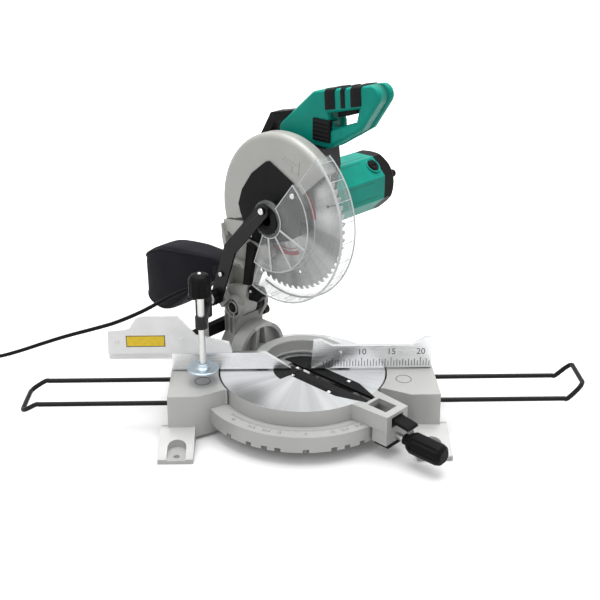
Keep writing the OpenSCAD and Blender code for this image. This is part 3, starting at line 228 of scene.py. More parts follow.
def blend_colours(tree, factor, low, high, start=0.3, stop=0.7):
    """A colour that goes from one to another as a factor rises."""
    ramp = add_node(tree, "ShaderNodeValToRGB")
    ramp.color_ramp.elements[0].position = start
    ramp.color_ramp.elements[1].position = stop
    ramp.color_ramp.elements[0].color = (*low, 1)
    ramp.color_ramp.elements[1].color = (*high, 1)
    tree.links.new(factor, ramp.inputs["Fac"])
    return ramp.outputs["Color"]


def shades(tree, factor, tone, low, high, start=0.3, stop=0.7):
    """A colour that goes from a darker to a lighter shade of one tone."""
    dark = [min(1.0, c * low) for c in tone]
    light = [min(1.0, c * high) for c in tone]
    return blend_colours(tree, factor, dark, light, start, stop)


def spread(tree, factor, low, high, start=0.3, stop=0.7):
    """A value that goes from low to high as a factor rises."""
    made = add_node(
        tree, "ShaderNodeMapRange", {"From Min": start, "From Max": stop, "To Min": low, "To Max": high}
    )
    tree.links.new(factor, made.inputs["Value"])
    return made.outputs["Result"]


def mix(tree, factor, first, second):
    """One colour or the other, by a factor."""
    made = add_node(tree, "ShaderNodeMix", data_type="RGBA")
    tree.links.new(factor, made.inputs["Factor"])
    tree.links.new(first, made.inputs["A"])
    tree.links.new(second, made.inputs["B"])
    return made.outputs["Result"]


def compare(tree, operation, value, limit):
    """Is 1 where a value is over or under a limit."""
    made = add_node(tree, "ShaderNodeMath", {1: limit}, operation=operation)
    tree.links.new(value, made.inputs[0])
    return made.outputs[0]


def combine(tree, operation, first, second):
    """Two values made into one."""
    made = add_node(tree, "ShaderNodeMath", operation=operation)
    tree.links.new(first, made.inputs[0])
    tree.links.new(second, made.inputs[1])
    return made.outputs[0]


def distance(tree, vector):
    """How far a point lies from the middle."""
    made = add_node(tree, "ShaderNodeVectorMath", operation="LENGTH")
    tree.links.new(vector, made.inputs[0])
    return made.outputs["Value"]


def fine_rings(tree, reach, scale, detail):
    """Fine rings about an axis; reach is the distance from it."""
    made = add_node(tree, "ShaderNodeTexNoise", {"Scale": scale, "Detail": detail}, noise_dimensions="1D")
    tree.links.new(reach, made.inputs["W"])
    return made.outputs["Fac"]


def light_rays(tree, flat, scale):
    """Painted sheen: soft lighter and darker rays out from an axis, painted in place of the highlights that
    fine turned lines give; flat is the way out from the axis.
    """
    aim = add_node(tree, "ShaderNodeVectorMath", operation="NORMALIZE")
    tree.links.new(flat, aim.inputs[0])
    return noise_of(tree, aim.outputs[0], scale, 4.0, 0.55)


def relief(tree, bsdf, height, depth, strength=1.0):
    """Fine unevenness of a face; depth is in metres."""
    made = add_node(tree, "ShaderNodeBump", {"Distance": depth, "Strength": strength})
    tree.links.new(height, made.inputs["Height"])
    tree.links.new(made.outputs["Normal"], bsdf.inputs["Normal"])


def worn_edges(tree, base, light):
    """Lightens a colour along sharp outer edges, partly as wear where handling rubs it and partly as a
    painted highlight.
    """
    geometry = add_node(tree, "ShaderNodeNewGeometry")
    edge = spread(tree, geometry.outputs["Pointiness"], 0.0, 0.65, 0.53, 0.6)
    plain = add_node(tree, "ShaderNodeRGB")
    plain.outputs[0].default_value = (*light, 1)
    return mix(tree, edge, base, plain.outputs[0])


def look(tree, bsdf, base, rough, **plain):
    """Gives a shader its colour and roughness, and the plain values of other sockets."""
    tree.links.new(base, bsdf.inputs["Base Color"])
    tree.links.new(rough, bsdf.inputs["Roughness"])
    for key, value in plain.items():
        bsdf.inputs[key].default_value = value


def set_gloss(bsdf, gloss):
    """How strongly a face that isn't metal mirrors."""
    bsdf.inputs["Specular IOR Level"].default_value = gloss


# Finishes

# Sprayed paint: size of its patches, flecks and peel, depth of the peel in metres, and metallic share
PAINT_PATCHES = 9.0
PAINT_FLECKS = 2600.0
PAINT_PEEL = 700.0
PEEL_DEPTH = 0.00012
PAINT_METALLIC = 0.15

# Tones of the smaller finishes
# Bevel arm's darker tone: partly its bare metal, partly painted shade
BARE_AND_SHADED_CASTING = (0.3, 0.3, 0.285)
DARK_CASTING = (0.016, 0.016, 0.017)
COPPER = (0.55, 0.25, 0.12)
CARBON = (0.03, 0.03, 0.032)
FAN_PLASTIC = (0.6, 0.6, 0.55)
# Pale tone of the painted highlights on the clear guard's edges
PAINTED_HIGHLIGHT_EDGE = (0.62, 0.64, 0.645)
WHITE_PRINT = (0.82, 0.82, 0.8)


def paint_patches(tree, vector, tone):
    """Soft patches of sprayed paint."""
    return shades(tree, noise_of(tree, vector, PAINT_PATCHES, 4.0), tone, 0.93, 1.05)


def cast_paint(name, tone):
    """Sprayed silver-grey paint over a die casting: fine peel and soft patches."""
    finish, tree, bsdf = shader(name)
    vector = placed(tree)
    flecks = noise_of(tree, vector, PAINT_FLECKS, 1.0)
    fleck_share = spread(tree, flecks, 0.0, 0.5)
    bright = shades(tree, flecks, tone, 0.96, 1.1)
    speckled = mix(tree, fleck_share, paint_patches(tree, vector, tone), bright)
    rough = spread(tree, noise_of(tree, vector, 60.0), 0.34, 0.46)
    look(tree, bsdf, speckled, rough, Metallic=PAINT_METALLIC)
    relief(tree, bsdf, noise_of(tree, vector, PAINT_PEEL, 2.0), PEEL_DEPTH, 0.35)
    return finish


def machined_table(name, bare, tone):
    """Turned metal on top, with fine rings about the table's axis and painted sheen rays out from it, and
    cast paint on the sides.
    """
    finish, tree, bsdf = shader(name)
    vector = placed(tree)
    flat = placed(tree, scale=(1, 1, 0))
    reach = distance(tree, flat)
    rings = fine_rings(tree, reach, 1500.0, 2.0)
    split = add_node(tree, "ShaderNodeSeparateXYZ")
    tree.links.new(vector, split.inputs["Vector"])
    height = split.outputs["Z"]
    mask = compare(tree, "GREATER_THAN", height, (TABLE_H - 0.4) * MM)
    for value, limit in ((height, TABLE_H + 0.6), (reach, TABLE_R)):
        mask = combine(tree, "MULTIPLY", mask, compare(tree, "LESS_THAN", value, limit * MM))
    turned = shades(tree, rings, bare, 0.94, 1.04)
    # Painted sheen: lighter and darker rays across the turned top, standing in for its highlights
    painted_sheen = shades(tree, light_rays(tree, flat, 2.6), bare, 0.86, 1.4, 0.36, 0.62)
    metal = mix(tree, spread(tree, rings, 0.55, 0.85), turned, painted_sheen)
    base = mix(tree, mask, paint_patches(tree, vector, tone), metal)
    look(tree, bsdf, base, spread(tree, mask, 0.46, 0.3, 0.0, 1.0))
    tree.links.new(spread(tree, mask, PAINT_METALLIC, 1.0, 0.0, 1.0), bsdf.inputs["Metallic"])
    peel = noise_of(tree, vector, PAINT_PEEL, 2.0)
    relief(tree, bsdf, mix(tree, mask, peel, rings), PEEL_DEPTH, 0.3)
    return finish


def drawn_metal(name, tone, scale, rough):
    """Metal with fine straight lines from drawing or grinding; scale is small along the lines."""
    finish, tree, bsdf = shader(name)
    vector = placed(tree, scale=scale)
    lines = noise_of(tree, vector, 10.0, 4.0, 0.65)
    base = shades(tree, lines, tone, 0.93, 1.05)
    look(tree, bsdf, base, spread(tree, lines, rough - 0.04, rough + 0.05), Metallic=1.0)
    relief(tree, bsdf, lines, 0.00004, 0.2)
    return finish


def moulded_plastic(name, tone, rough, grain=1600.0, edge_wear_and_highlight=0.0, gloss=0.5):
    """Moulded plastic with a fine spark-eroded grain and faint handling marks; its edges may be lightened,
    partly as wear and partly as a painted highlight.
    """
    finish, tree, bsdf = shader(name)
    vector = placed(tree)
    base = shades(tree, noise_of(tree, vector, 22.0, 4.0), tone, 0.9, 1.12)
    # Edges lightened partly by wear and partly as a painted highlight
    if edge_wear_and_highlight:
        base = worn_edges(tree, base, [c + edge_wear_and_highlight * (1 - c) for c in tone])
    look(tree, bsdf, base, spread(tree, noise_of(tree, vector, 90.0), rough - 0.06, rough + 0.07))
    set_gloss(bsdf, gloss)
    relief(tree, bsdf, noise_of(tree, vector, grain, 1.0), 0.00008, 0.3)
    return finish


def grip_rubber(name, tone):
    """Soft rubber with a dull, pebbled face."""
    finish, tree, bsdf = shader(name)
    vector = placed(tree)
    cells = add_node(tree, "ShaderNodeTexVoronoi", {"Scale": 900.0})
    tree.links.new(vector, cells.inputs["Vector"])
    base = shades(tree, noise_of(tree, vector, 40.0), tone, 0.85, 1.2)
    look(tree, bsdf, base, spread(tree, noise_of(tree, vector, 120.0), 0.6, 0.75))
    set_gloss(bsdf, 0.12)
    relief(tree, bsdf, cells.outputs["Distance"], 0.0002, 0.3)
    return finish


def bag_cloth(name, tone):
    """Close plain weave of coated cloth, with a slight sheen."""
    finish, tree, bsdf = shader(name)
    threads = []
    for direction in ("Y", "Z"):
        wave = add_node(
            tree,
            "ShaderNodeTexWave",
            {"Scale": 260.0, "Distortion": 0.6, "Detail": 1.0, "Detail Scale": 3.0},
            wave_type="BANDS",
            bands_direction=direction,
        )
        tree.links.new(placed(tree, turn=(0, 0, -MITRE)), wave.inputs["Vector"])
        threads.append(wave.outputs["Fac"])
    weave = combine(tree, "MAXIMUM", *threads)
    patches = noise_of(tree, placed(tree), 14.0, 5.0)
    look(tree, bsdf, shades(tree, patches, tone, 0.75, 1.35), spread(tree, patches, 0.62, 0.8))
    bsdf.inputs["Sheen Weight"].default_value = 0.02
    bsdf.inputs["Sheen Roughness"].default_value = 0.5
    set_gloss(bsdf, 0.08)
    relief(tree, bsdf, weave, 0.0003, 0.5)
    return finish


def ground_blade(name, tone):
    """Steel ground in rings about the blade's own axis, with painted sheen rays out from it."""
    finish, tree, bsdf = shader(name)
    about_axis = placed(tree, turn=(0, 0, -MITRE), centre=point(0, BLADE_A, BLADE_Z))
    across = add_node(tree, "ShaderNodeVectorMath", {1: (0, 1, 1)}, operation="MULTIPLY")
    tree.links.new(about_axis, across.inputs[0])
    flat = across.outputs[0]
    rings = fine_rings(tree, distance(tree, flat), 900.0, 3.0)
    ground = shades(tree, rings, tone, 0.86, 1.1)
    # Painted sheen: lighter and darker rays across the blade, standing in for its highlights
    painted_sheen = shades(tree, light_rays(tree, flat, 1.7), tone, 0.3, 1.3, 0.36, 0.6)
    base = mix(tree, spread(tree, rings, 0.6, 0.9), ground, painted_sheen)
    look(tree, bsdf, base, spread(tree, rings, 0.26, 0.4), Metallic=1.0)
    relief(tree, bsdf, rings, 0.0001, 0.35)
    return finish


def clear_plastic(name):
    """Clear polycarbonate, hazed by dust and faint scuffs."""
    finish, tree, bsdf = shader(name)
    vector = placed(tree)
    base = blend_colours(tree, noise_of(tree, vector, 16.0, 5.0), (0.48, 0.51, 0.515), (0.8, 0.815, 0.815))
    look(tree, bsdf, base, spread(tree, noise_of(tree, vector, 70.0, 4.0), 0.06, 0.16), Alpha=0.16)
    relief(tree, bsdf, noise_of(tree, vector, 25.0, 2.0), 0.0004, 0.12)
    return finish


def printed(name, tone, rough=0.45):
    """Ink or a label film with faint unevenness."""
    finish, tree, bsdf = shader(name)
    vector = placed(tree)
    base = shades(tree, noise_of(tree, vector, 180.0), tone, 0.92, 1.06)
    look(tree, bsdf, base, spread(tree, noise_of(tree, vector, 300.0), rough - 0.05, rough + 0.06))
    return finish


def finish_of(slot):
    """The finish of a material slot, made when it is first asked for."""
    name = "finish_" + slot
    known = bpy.data.materials.get(name)
    if known:
        return known
    tones = colours()
    makers = {
        "casting": lambda: cast_paint(name, tones.casting),
        "bare_and_shaded_casting": lambda: cast_paint(name, BARE_AND_SHADED_CASTING),
        "guard_paint": lambda: cast_paint(name, tones.guard),
        "table_metal": lambda: machined_table(name, tones.machined, tones.casting),
        "fence_metal": lambda: drawn_metal(name, tones.fence, (2, 60, 60), 0.28),
        "white_plastic": lambda: moulded_plastic(name, tones.white, 0.42),
        "steel": lambda: drawn_metal(name, tones.steel, (30, 30, 4), 0.3),
        "black_paint": lambda: moulded_plastic(name, tones.black, 0.34, 500.0, 0.02, 0.16),
        "dark_casting": lambda: moulded_plastic(name, DARK_CASTING, 0.5, 600.0, 0.03, 0.2),
        "zinc_plate": lambda: drawn_metal(name, tones.zinc, (20, 20, 20), 0.32),
        "black_plastic": lambda: moulded_plastic(name, tones.black, 0.45, 1600.0, 0.015, 0.07),
        "green_plastic": lambda: moulded_plastic(name, tones.green, 0.4, gloss=0.14),
        "soft_rubber": lambda: grip_rubber(name, tones.rubber),
        "bag_cloth": lambda: bag_cloth(name, tones.cloth),
        "blade_steel": lambda: ground_blade(name, tones.blade),
        "clear_plastic": lambda: clear_plastic(name),
        "copper_windings": lambda: drawn_metal(name, COPPER, (40, 40, 40), 0.4),
        "carbon": lambda: moulded_plastic(name, CARBON, 0.6),
        "fan_plastic": lambda: moulded_plastic(name, FAN_PLASTIC, 0.5),
        "yellow_film": lambda: printed(name, tones.yellow),
        "red_print": lambda: printed(name, tones.red, 0.35),
        "dark_print": lambda: printed(name, tones.ink),
        "dark_green": lambda: printed(name, [c * 0.25 for c in tones.green], 0.6),
        # Painted highlights of the clear guard's edges
        "painted_highlight_edge": lambda: printed(name, PAINTED_HIGHLIGHT_EDGE, 0.2),
        # Darker tone of raised marks: painted shade of their relief
        "painted_relief_shade": lambda: printed(name, [c * 0.42 for c in tones.casting], 0.5),
        "white_print": lambda: printed(name, WHITE_PRINT),
    }
    return makers[slot]()


# Which nodes of the solid model take which finish
NODE_FINISH = {
    "casting": ["base_casting"],
    "bare_and_shaded_casting": ["bevel_arm"],
    "guard_paint": ["upper_guard"],
    "table_metal": ["turntable"],
    "fence_metal": ["left_fence", "right_fence"],
    "white_plastic": ["sliding_fence"],
    "steel": [
        "fence_bolts", "clamp_post", "clamp_screw", "table_bolt", "bevel_pivot_bolt", "bevel_lock_bolt",
        "mitre_screw", "pivot_shaft", "return_spring", "link_stud", "bearings", "arbor", "flanges",
        "drive_gear",
    ],
    "black_paint": ["support_left", "support_right", "link_bar", "stop_pin"],
    "dark_casting": ["clamp_arm", "gear_case", "stator"],
    "zinc_plate": ["clamp_foot"],
    "black_plastic": [
        "clamp_knob", "kerf_boards", "lock_plate", "mitre_grip", "mitre_lever", "bevel_lever", "link_knob",
        "centre_cover", "spindle_lock", "motor_end_cap", "brush_caps", "trigger", "lock_button",
        "carry_handle", "dust_chute", "guard_hub", "cord_gland", "plug",
    ],
    "green_plastic": ["motor_housing", "handle_left", "handle_right"],
    "soft_rubber": ["rubber_grip", "cord_tie"],
    "blade_steel": ["saw_blade"],
    "clear_plastic": ["lower_guard"],
    "copper_windings": ["armature"],
    "carbon": ["brushes"],
    "fan_plastic": ["fan"],
}

# Edge rounding of some nodes in millimetres; the rest take the common one
EDGE_ROUND = {
    "base_casting": 1.6,
    "turntable": 1.2,
    "upper_guard": 1.0,
    "bevel_arm": 1.2,
    "motor_housing": 2.5,
    "motor_end_cap": 1.0,
    "handle_left": 0.0,
    "handle_right": 0.0,
    "carry_handle": 2.0,
    "saw_blade": 0.0,
    "lower_guard": 0.5,
    "gear_case": 1.6,
    "centre_cover": 1.0,
    "rubber_grip": 0.0,
    "return_spring": 0.0,
    "lock_button": 0.6,
    "clamp_arm": 1.5,
}
COMMON_ROUND = 0.5

# Edges sharper than this in degrees are rounded, in this many steps
SHARP_ANGLE = 35.0
ROUND_STEPS = 2

# Points closer than these, in metres, are made one: in a node of the solid model, and in a new shape
NODE_WELD = 0.00001
SHAPE_WELD = 0.000001


# Mesh helpers


def soften(piece, width):
    """Closes the mesh, rounds its sharp edges and evens its shading."""
    weld = piece.modifiers.new("weld", "WELD")
    weld.merge_threshold = NODE_WELD
    flatten = piece.modifiers.new("flatten", "DECIMATE")
    flatten.decimate_type = "DISSOLVE"
    flatten.angle_limit = math.radians(0.6)
    if width > 0:
        rounding = piece.modifiers.new("round", "BEVEL")
        rounding.limit_method = "ANGLE"
        rounding.angle_limit = math.radians(SHARP_ANGLE)
        rounding.width = width
        rounding.segments = ROUND_STEPS
        rounding.profile = 0.5
        rounding.material = -1
    even = piece.modifiers.new("even", "WEIGHTED_NORMAL")
    even.keep_sharp = False
    even.weight = 60


def take_in(whole, mesh):
    """Adds a mesh to a larger one and removes it."""
    whole.from_mesh(mesh)
    bpy.data.meshes.remove(mesh)


def close_up(whole):
    """Makes one of points that meet, and turns all faces outward."""
    bmesh.ops.remove_doubles(whole, verts=whole.verts, dist=SHAPE_WELD)
    bmesh.ops.recalc_face_normals(whole, faces=whole.faces)


def join(whole, part, place):
    """Puts a finished part into a larger mesh."""
    close_up(part)
    part.transform(place)
    mesh = bpy.data.meshes.new("part")
    part.to_mesh(mesh)
    part.free()
    take_in(whole, mesh)


def turned_shape(profile, steps=32):
    """A shape turned about Z from points of (radius, height) in millimetres."""
    part = bmesh.new()
    verts = [part.verts.new((r * MM, 0, h * MM)) for r, h in profile]
    edges = [part.edges.new(pair) for pair in zip(verts, verts[1:])]
    bmesh.ops.spin(
        part,
        geom=verts + edges,
        cent=(0, 0, 0),
        axis=(0, 0, 1),
        angle=FULL_TURN,
        steps=steps,
        use_merge=True,
    )
    return part


def rounded(part, edges, bevel):
    """Rounds edges of a shape by a width in millimetres."""
    bmesh.ops.bevel(
        part,
        geom=edges,
        offset=bevel * MM,
        segments=ROUND_STEPS,
        profile=0.5,
        affect="EDGES",
        material=-1,
    )


def block(size, bevel=0.0):
    """A block of that size in millimetres that stands on the origin, with its edges rounded."""
    part = bmesh.new()
    bmesh.ops.create_cube(part, size=1.0)
    bmesh.ops.scale(part, vec=Vector(size) * MM, verts=part.verts)
    bmesh.ops.translate(part, vec=(0, 0, size[2] * MM / 2), verts=part.verts)
    if bevel:
        rounded(part, part.edges[:], bevel)
    return part


def plate(outline, thickness, bevel=0.0):
    """A flat plate of that outline in millimetres, lying on its back, with its upper rim rounded."""
    part = bmesh.new()
    face = part.faces.new([part.verts.new((x * MM, y * MM, 0)) for x, y in outline])
    made = bmesh.ops.extrude_face_region(part, geom=[face])
    top = [item for item in made["geom"] if isinstance(item, bmesh.types.BMVert)]
    bmesh.ops.translate(part, vec=(0, 0, thickness * MM), verts=top)
    if bevel:
        rounded(part, [e for e in part.edges if all(v in top for v in e.verts)], bevel)
    return part


def arc_points(radius, angles):
    """Points on a circle about the origin, at angles in radians."""
    return [(radius * math.cos(t), radius * math.sin(t)) for t in angles]


def ribbon(radius, width, start, stop, thickness, steps=24):
    """A flat arc about the origin, from one angle to another in degrees."""
    angles = [math.radians(start + (stop - start) * i / steps) for i in range(steps + 1)]
    outer = arc_points(radius + width / 2, angles)
    inner = arc_points(radius - width / 2, reversed(angles))
    return plate(outer + inner, thickness)


def screw_shape(radius, height, socket=True):
    """A pan-headed screw with a round drive, or a plain round head."""
    deep = 0.35 * height if socket else 0.98 * height
    return turned_shape(
        [
            (0, deep), (0.34 * radius, deep), (0.42 * radius, 0.92 * height), (0.6 * radius, height),
            (0.85 * radius, 0.85 * height), (radius, 0.45 * height), (radius, 0), (0, 0),
        ],
        20,
    )


def mesh_of(data):
    """The mesh of a curve or of figures, which are removed."""
    holder = bpy.data.objects.new("outline", data)
    bpy.context.scene.collection.objects.link(holder)
    graph = bpy.context.evaluated_depsgraph_get()
    mesh = bpy.data.meshes.new_from_object(holder.evaluated_get(graph))
    bpy.data.objects.remove(holder)
    bpy.data.curves.remove(data)
    return mesh


def lettering(whole, text, size, place, thickness=0.2):
    """Raised figures of that type size in millimetres."""
    data = bpy.data.curves.new("figures", "FONT")
    data.body = text
    data.size = size * MM
    data.extrude = thickness * MM / 2
    data.align_x = "CENTER"
    data.align_y = "CENTER"
    data.resolution_u = 3
    mesh = mesh_of(data)
    mesh.transform(place)
    take_in(whole, mesh)


def tube_mesh(points, radius, resolution=3):
    """A round tube along a list of points."""
    data = bpy.data.curves.new("tube", "CURVE")
    data.dimensions = "3D"
    data.bevel_depth = radius
    data.bevel_resolution = resolution
    data.use_fill_caps = True
    spline = data.splines.new("POLY")
    spline.points.add(len(points) - 1)
    for target, source in zip(spline.points, points):
        target.co = (*source, 1)
    return mesh_of(data)


def add_object(name, whole, finish, smooth=True):
    """Makes an object of a finished mesh."""
    mesh = bpy.data.meshes.new(name)
    whole.to_mesh(mesh)
    whole.free()
    mesh.materials.append(finish)
    for face in mesh.polygons:
        face.use_smooth = smooth
    made = bpy.data.objects.new(name, mesh)
    bpy.context.scene.collection.objects.link(made)
    return made


def finish_piece(name, whole, slot, body, finish=None, round_edges=0.0, smooth=True):
    """Makes a mesh an object of the saw that rides on a body and takes a slot's finish."""
    piece = add_object(name, whole, finish_of(finish or slot), smooth)
    if round_edges:
        soften(piece, round_edges * MM)
    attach(piece, body)
    return piece


def fit(name, parts, slot, body, **options):
    """Joins shapes, each with its place, into one piece of the saw."""
    whole = bmesh.new()
    for part, place in parts:
        join(whole, part, place)
    return finish_piece(name, whole, slot, body, **options)


# Operators

# Camera: where it stands in metres, how it looks down and aside and leans in degrees,
# and the width of its sensor in millimetres
CAMERA_EYE = (-0.050, -1.505, 0.880)
CAMERA_PITCH = 24.0
CAMERA_YAW = 1.71
CAMERA_ROLL = 0.2
SENSOR_WIDTH = 36.0


class SAW_OT_camera(bpy.types.Operator):
    """Set up the camera at the photograph's viewing angle"""

    bl_idname = "saw.camera"
    bl_label = "Camera"

    def execute(self, context):
        pitch = math.radians(CAMERA_PITCH)
        yaw = math.radians(CAMERA_YAW)
        roll = math.radians(CAMERA_ROLL)
        data = bpy.data.cameras.new("view")
        data.sensor_width = SENSOR_WIDTH
        data.lens = sizes().lens
        camera = bpy.data.objects.new("view", data)
        context.scene.collection.objects.link(camera)
        ahead = Vector((math.sin(yaw) * math.cos(pitch), math.cos(yaw) * math.cos(pitch), -math.sin(pitch)))
        level = Vector((math.cos(yaw), -math.sin(yaw), 0))
        upward = level.cross(ahead)
        right = math.cos(roll) * level + math.sin(roll) * upward
        up = math.cos(roll) * upward - math.sin(roll) * level
        turn = Matrix((right, up, -ahead)).transposed().to_4x4()
        camera.matrix_world = Matrix.Translation(CAMERA_EYE) @ turn
        context.scene.camera = camera
        return {"FINISHED"}


# Route of the mains cord in millimetres, from the end of its sleeve to the bench
CORD_EXIT = (-36, -203, 176)
CORD_ROUTE = [
    (-194, 137, 174), (-213, 137, 168), (-235, 132, 159), (-258, 126, 148), (-285, 121, 135),
    (-330, 124, 114), (-371, 132, 98), (-426, 148, 76), (-476, 162, 54), (-520, 174, 34),
    (-560, 187, 17), (-590, 198.5, 8), (-615, 206.5, 5), (-640, 214.5, 5),
]

# Spacing of the cord's first points, straight out of its sleeve, and its reach into the plug, in metres
CORD_STRAIGHT = 0.008
PLUG_ENTRY = 0.002

# Stored coil: sizes in millimetres, its start in degrees, turns in each of its two layers,
# the part of a turn that climbs between them, and points in a turn
COIL_RADIUS = 50
COIL_PITCH = 8.4
COIL_HEIGHT = 5.0
COIL_LEAD = 7.3
COIL_TAIL = 14.0
PLUG_HEIGHT = 11.0
COIL_START = 72.3
COIL_TURNS = 2.5
COIL_CLIMB = 0.5
COIL_STEPS = 24


def smooth_route(points, steps):
    """Points of a smooth curve through a list of points."""
    route = []
    last = len(points) - 1
    for i in range(last):
        a, b, c, d = points[max(i - 1, 0)], points[i], points[i + 1], points[min(i + 2, last)]
        for s in range(steps):
            t = s / steps
            bend = 2 * a - 5 * b + 4 * c - d
            twist = 3 * b - a - 3 * c + d
            route.append(0.5 * (2 * b + (c - a) * t + bend * t * t + twist * t**3))
    return route + [points[last]]


def cord_path():
    """The whole route: out of the sleeve, down to the bench, round the stored coil and to the plug."""
    back = Vector((-math.sin(MITRE), math.cos(MITRE), 0))
    start = point(*CORD_EXIT)
    points = [start, start + CORD_STRAIGHT * back, start + 2 * CORD_STRAIGHT * back]
    points += [Vector(p) * MM for p in CORD_ROUTE]
    route = smooth_route(points, 4)
    begin = math.radians(COIL_START)
    lead = points[-1] + COIL_LEAD * MM * Vector((-math.sin(begin), math.cos(begin), 0))
    middle = lead - COIL_RADIUS * MM * Vector((math.cos(begin), math.sin(begin), 0))
    total = 2 * COIL_TURNS + COIL_CLIMB
    for i in range(int(COIL_STEPS * total) + 1):
        turn = i / COIL_STEPS
        wound = min(turn, COIL_TURNS)
        if turn >= COIL_TURNS + COIL_CLIMB / 2:
            wound = min(total - turn, COIL_TURNS)
        climb = min(max((turn - COIL_TURNS) / COIL_CLIMB, 0), 1)
        radius = (COIL_RADIUS - COIL_PITCH * wound) * MM
        angle = begin + FULL_TURN * turn
        height = (COIL_HEIGHT + COIL_PITCH * climb) * MM
        x = middle.x + radius * math.cos(angle)
        y = middle.y + radius * math.sin(angle)
        route.append(Vector((x, y, height)))
    angle += math.pi / 2
    outward = Vector((math.cos(angle), math.sin(angle), 0))
    last = route[-1]
    tail = COIL_TAIL * MM * outward + Vector((0, 0, PLUG_HEIGHT * MM - last.z))
    route += [last + tail / 2, last + tail, last + tail + PLUG_ENTRY * outward]
    return route


class SAW_OT_cord(bpy.types.Operator):
    """Lay the mains cord from its sleeve to the coil on the bench"""

    bl_idname = "saw.cord"
    bl_label = "Mains cord"

    def execute(self, context):
        route = cord_path()
        whole = bmesh.new()
        take_in(whole, tube_mesh(route, sizes().cord / 2))
        close_up(whole)
        cord = add_object("mains_cord", whole, finish_of("black_plastic"))
        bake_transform(cord)
        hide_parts("cord_run", "cord_coil")
        return {"FINISHED"}


class SAW_OT_finishes(bpy.types.Operator):
    """Give every node of the solid model its finish and rounded edges"""

    bl_idname = "saw.finishes"
    bl_label = "Finishes"

    def execute(self, context):
        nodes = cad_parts
        for slot, names in NODE_FINISH.items():
            for name in names:
                node = nodes[name]
                node.data.materials.clear()
                node.data.materials.append(finish_of(slot))
                soften(node, EDGE_ROUND.get(name, COMMON_ROUND) * MM)
        return {"FINISHED"}


# Stations of the dust bag from its neck to its tail in millimetres: towards the user, low, high, half width
BAG_STATIONS = [
    (-181, 194, 234, 19), (-192, 191, 237, 21), (-205, 189, 238, 23.5), (-235, 164, 237, 28),
    (-262, 141, 236, 32), (-287, 120, 234, 32.5), (-312, 101, 231, 33), (-334, 95, 226, 33),
    (-356, 97, 217, 31), (-373, 102, 206, 28), (-384, 110, 195, 22), (-389, 122, 182, 13),
]

# The bag's middle along the blade's axis, points and squareness of its section,
# and stations in its taut neck
BAG_V = -2
BAG_SIDES = 40
BAG_SQUARE = 7.0
BAG_NECK = 3

# First station with piping, how deep the piping sits in millimetres, and the section of the neck's band
PIPED_FROM = 2
PIPING_DEPTH = 1.2
NECK_BAND = [
    (21.5, -6), (22.6, -5), (23.2, -2), (22.6, 0), (23.2, 2), (22.6, 5), (21.5, 6), (20, 0), (21.5, -6),
]


def bag_ring(station):
    """Points of the bag's cross section, a rounded box."""
    a, low, high, half = station
    middle = (low + high) / 2
    tall = (high - low) / 2
    power = 2 / BAG_SQUARE
    ring = []
    for k in range(BAG_SIDES):
        angle = FULL_TURN * k / BAG_SIDES
        c, s = math.cos(angle), math.sin(angle)
        across = math.copysign(abs(c) ** power, c) * half
        up = math.copysign(abs(s) ** power, s) * tall
        ring.append(Vector((BAG_V + across, a, middle + up)))
    return ring


def crease(spot, slack):
    """How far slack cloth is pulled in at a point, in millimetres."""
    broad = noise.noise(Vector((spot.x * 0.012, spot.y * 0.022, spot.z * 0.024)))
    folds = noise.noise(Vector((spot.x * 0.03 + 7, spot.y * 0.05, (spot.z + 0.6 * spot.y) * 0.06)))
    return (1.2 + 1.0 * broad + 1.1 * folds) * slack


def pulled_in(spot, ring, depth):
    """A point of the bag's section, moved towards the middle by a depth in millimetres."""
    inward = sum(ring, Vector()) / len(ring) - spot
    inward.y = 0
    return spot + inward.normalized() * depth


class SAW_OT_dust_bag(bpy.types.Operator):
    """Sew the sagging cloth dust bag with its piped edges and neck band"""

    bl_idname = "saw.dust_bag"
    bl_label = "Dust bag"

    def execute(self, context):
        whole = bmesh.new()
        rings = []
        for i, station in enumerate(BAG_STATIONS):
            ring = bag_ring(station)
            slack = min(1.0, max(0.15, (i - 1) / BAG_NECK))
            made = bmesh.ops.create_circle(whole, segments=BAG_SIDES, radius=MM)["verts"]
            for vert, spot in zip(made, ring):
                vert.co = point(*pulled_in(spot, ring, crease(spot, slack)))
            rings.append(made)
        for pair in zip(rings, rings[1:]):
            loops = [e for e in whole.edges if any(all(v in ring for v in e.verts) for ring in pair)]
            bmesh.ops.bridge_loops(whole, edges=loops)
        whole.faces.new(rings[-1])
        bmesh.ops.recalc_face_normals(whole, faces=whole.faces)
        bag = finish_piece("dust_bag_cloth", whole, "bag_cloth", "head")
        wall = bag.modifiers.new("wall", "SOLIDIFY")
        wall.thickness = 0.0012
        wall.offset = -1
        fuller = bag.modifiers.new("fuller", "SUBSURF")
        fuller.levels = 2
        fuller.render_levels = 2
        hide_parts("dust_bag")
        self.piping()
        band = turned_shape(NECK_BAND, 40)
        place = on_front(BAG_V, -189, 214)
        fit("bag_neck_band", [(band, place)], "bag_cloth", "head", finish="soft_rubber")
        return {"FINISHED"}

    def piping(self):
        """Rolled edges where the side panels meet the band."""
        whole = bmesh.new()
        there = BAG_STATIONS[PIPED_FROM:]
        back = list(reversed(there))
        eighth = BAG_SIDES // 8
        for top, bottom in ((eighth, 7 * eighth), (3 * eighth, 5 * eighth)):
            line = []
            for index, order in ((top, there), (bottom, back)):
                for ring in map(bag_ring, order):
                    line.append(point(*pulled_in(ring[index], ring, PIPING_DEPTH)))
            take_in(whole, tube_mesh(smooth_route(line, 4), sizes().piping, 2))
        bmesh.ops.recalc_face_normals(whole, faces=whole.faces)
        finish_piece("bag_piping", whole, "bag_cloth", "head", "black_plastic")


# Ruler on the right fence in millimetres: reach of its ticks, foot of the ticks, and middle of the figures
RULER_REACH = range(35, 216, 5)
RULER_FOOT = 86
RULER_FIGURES = 112.5


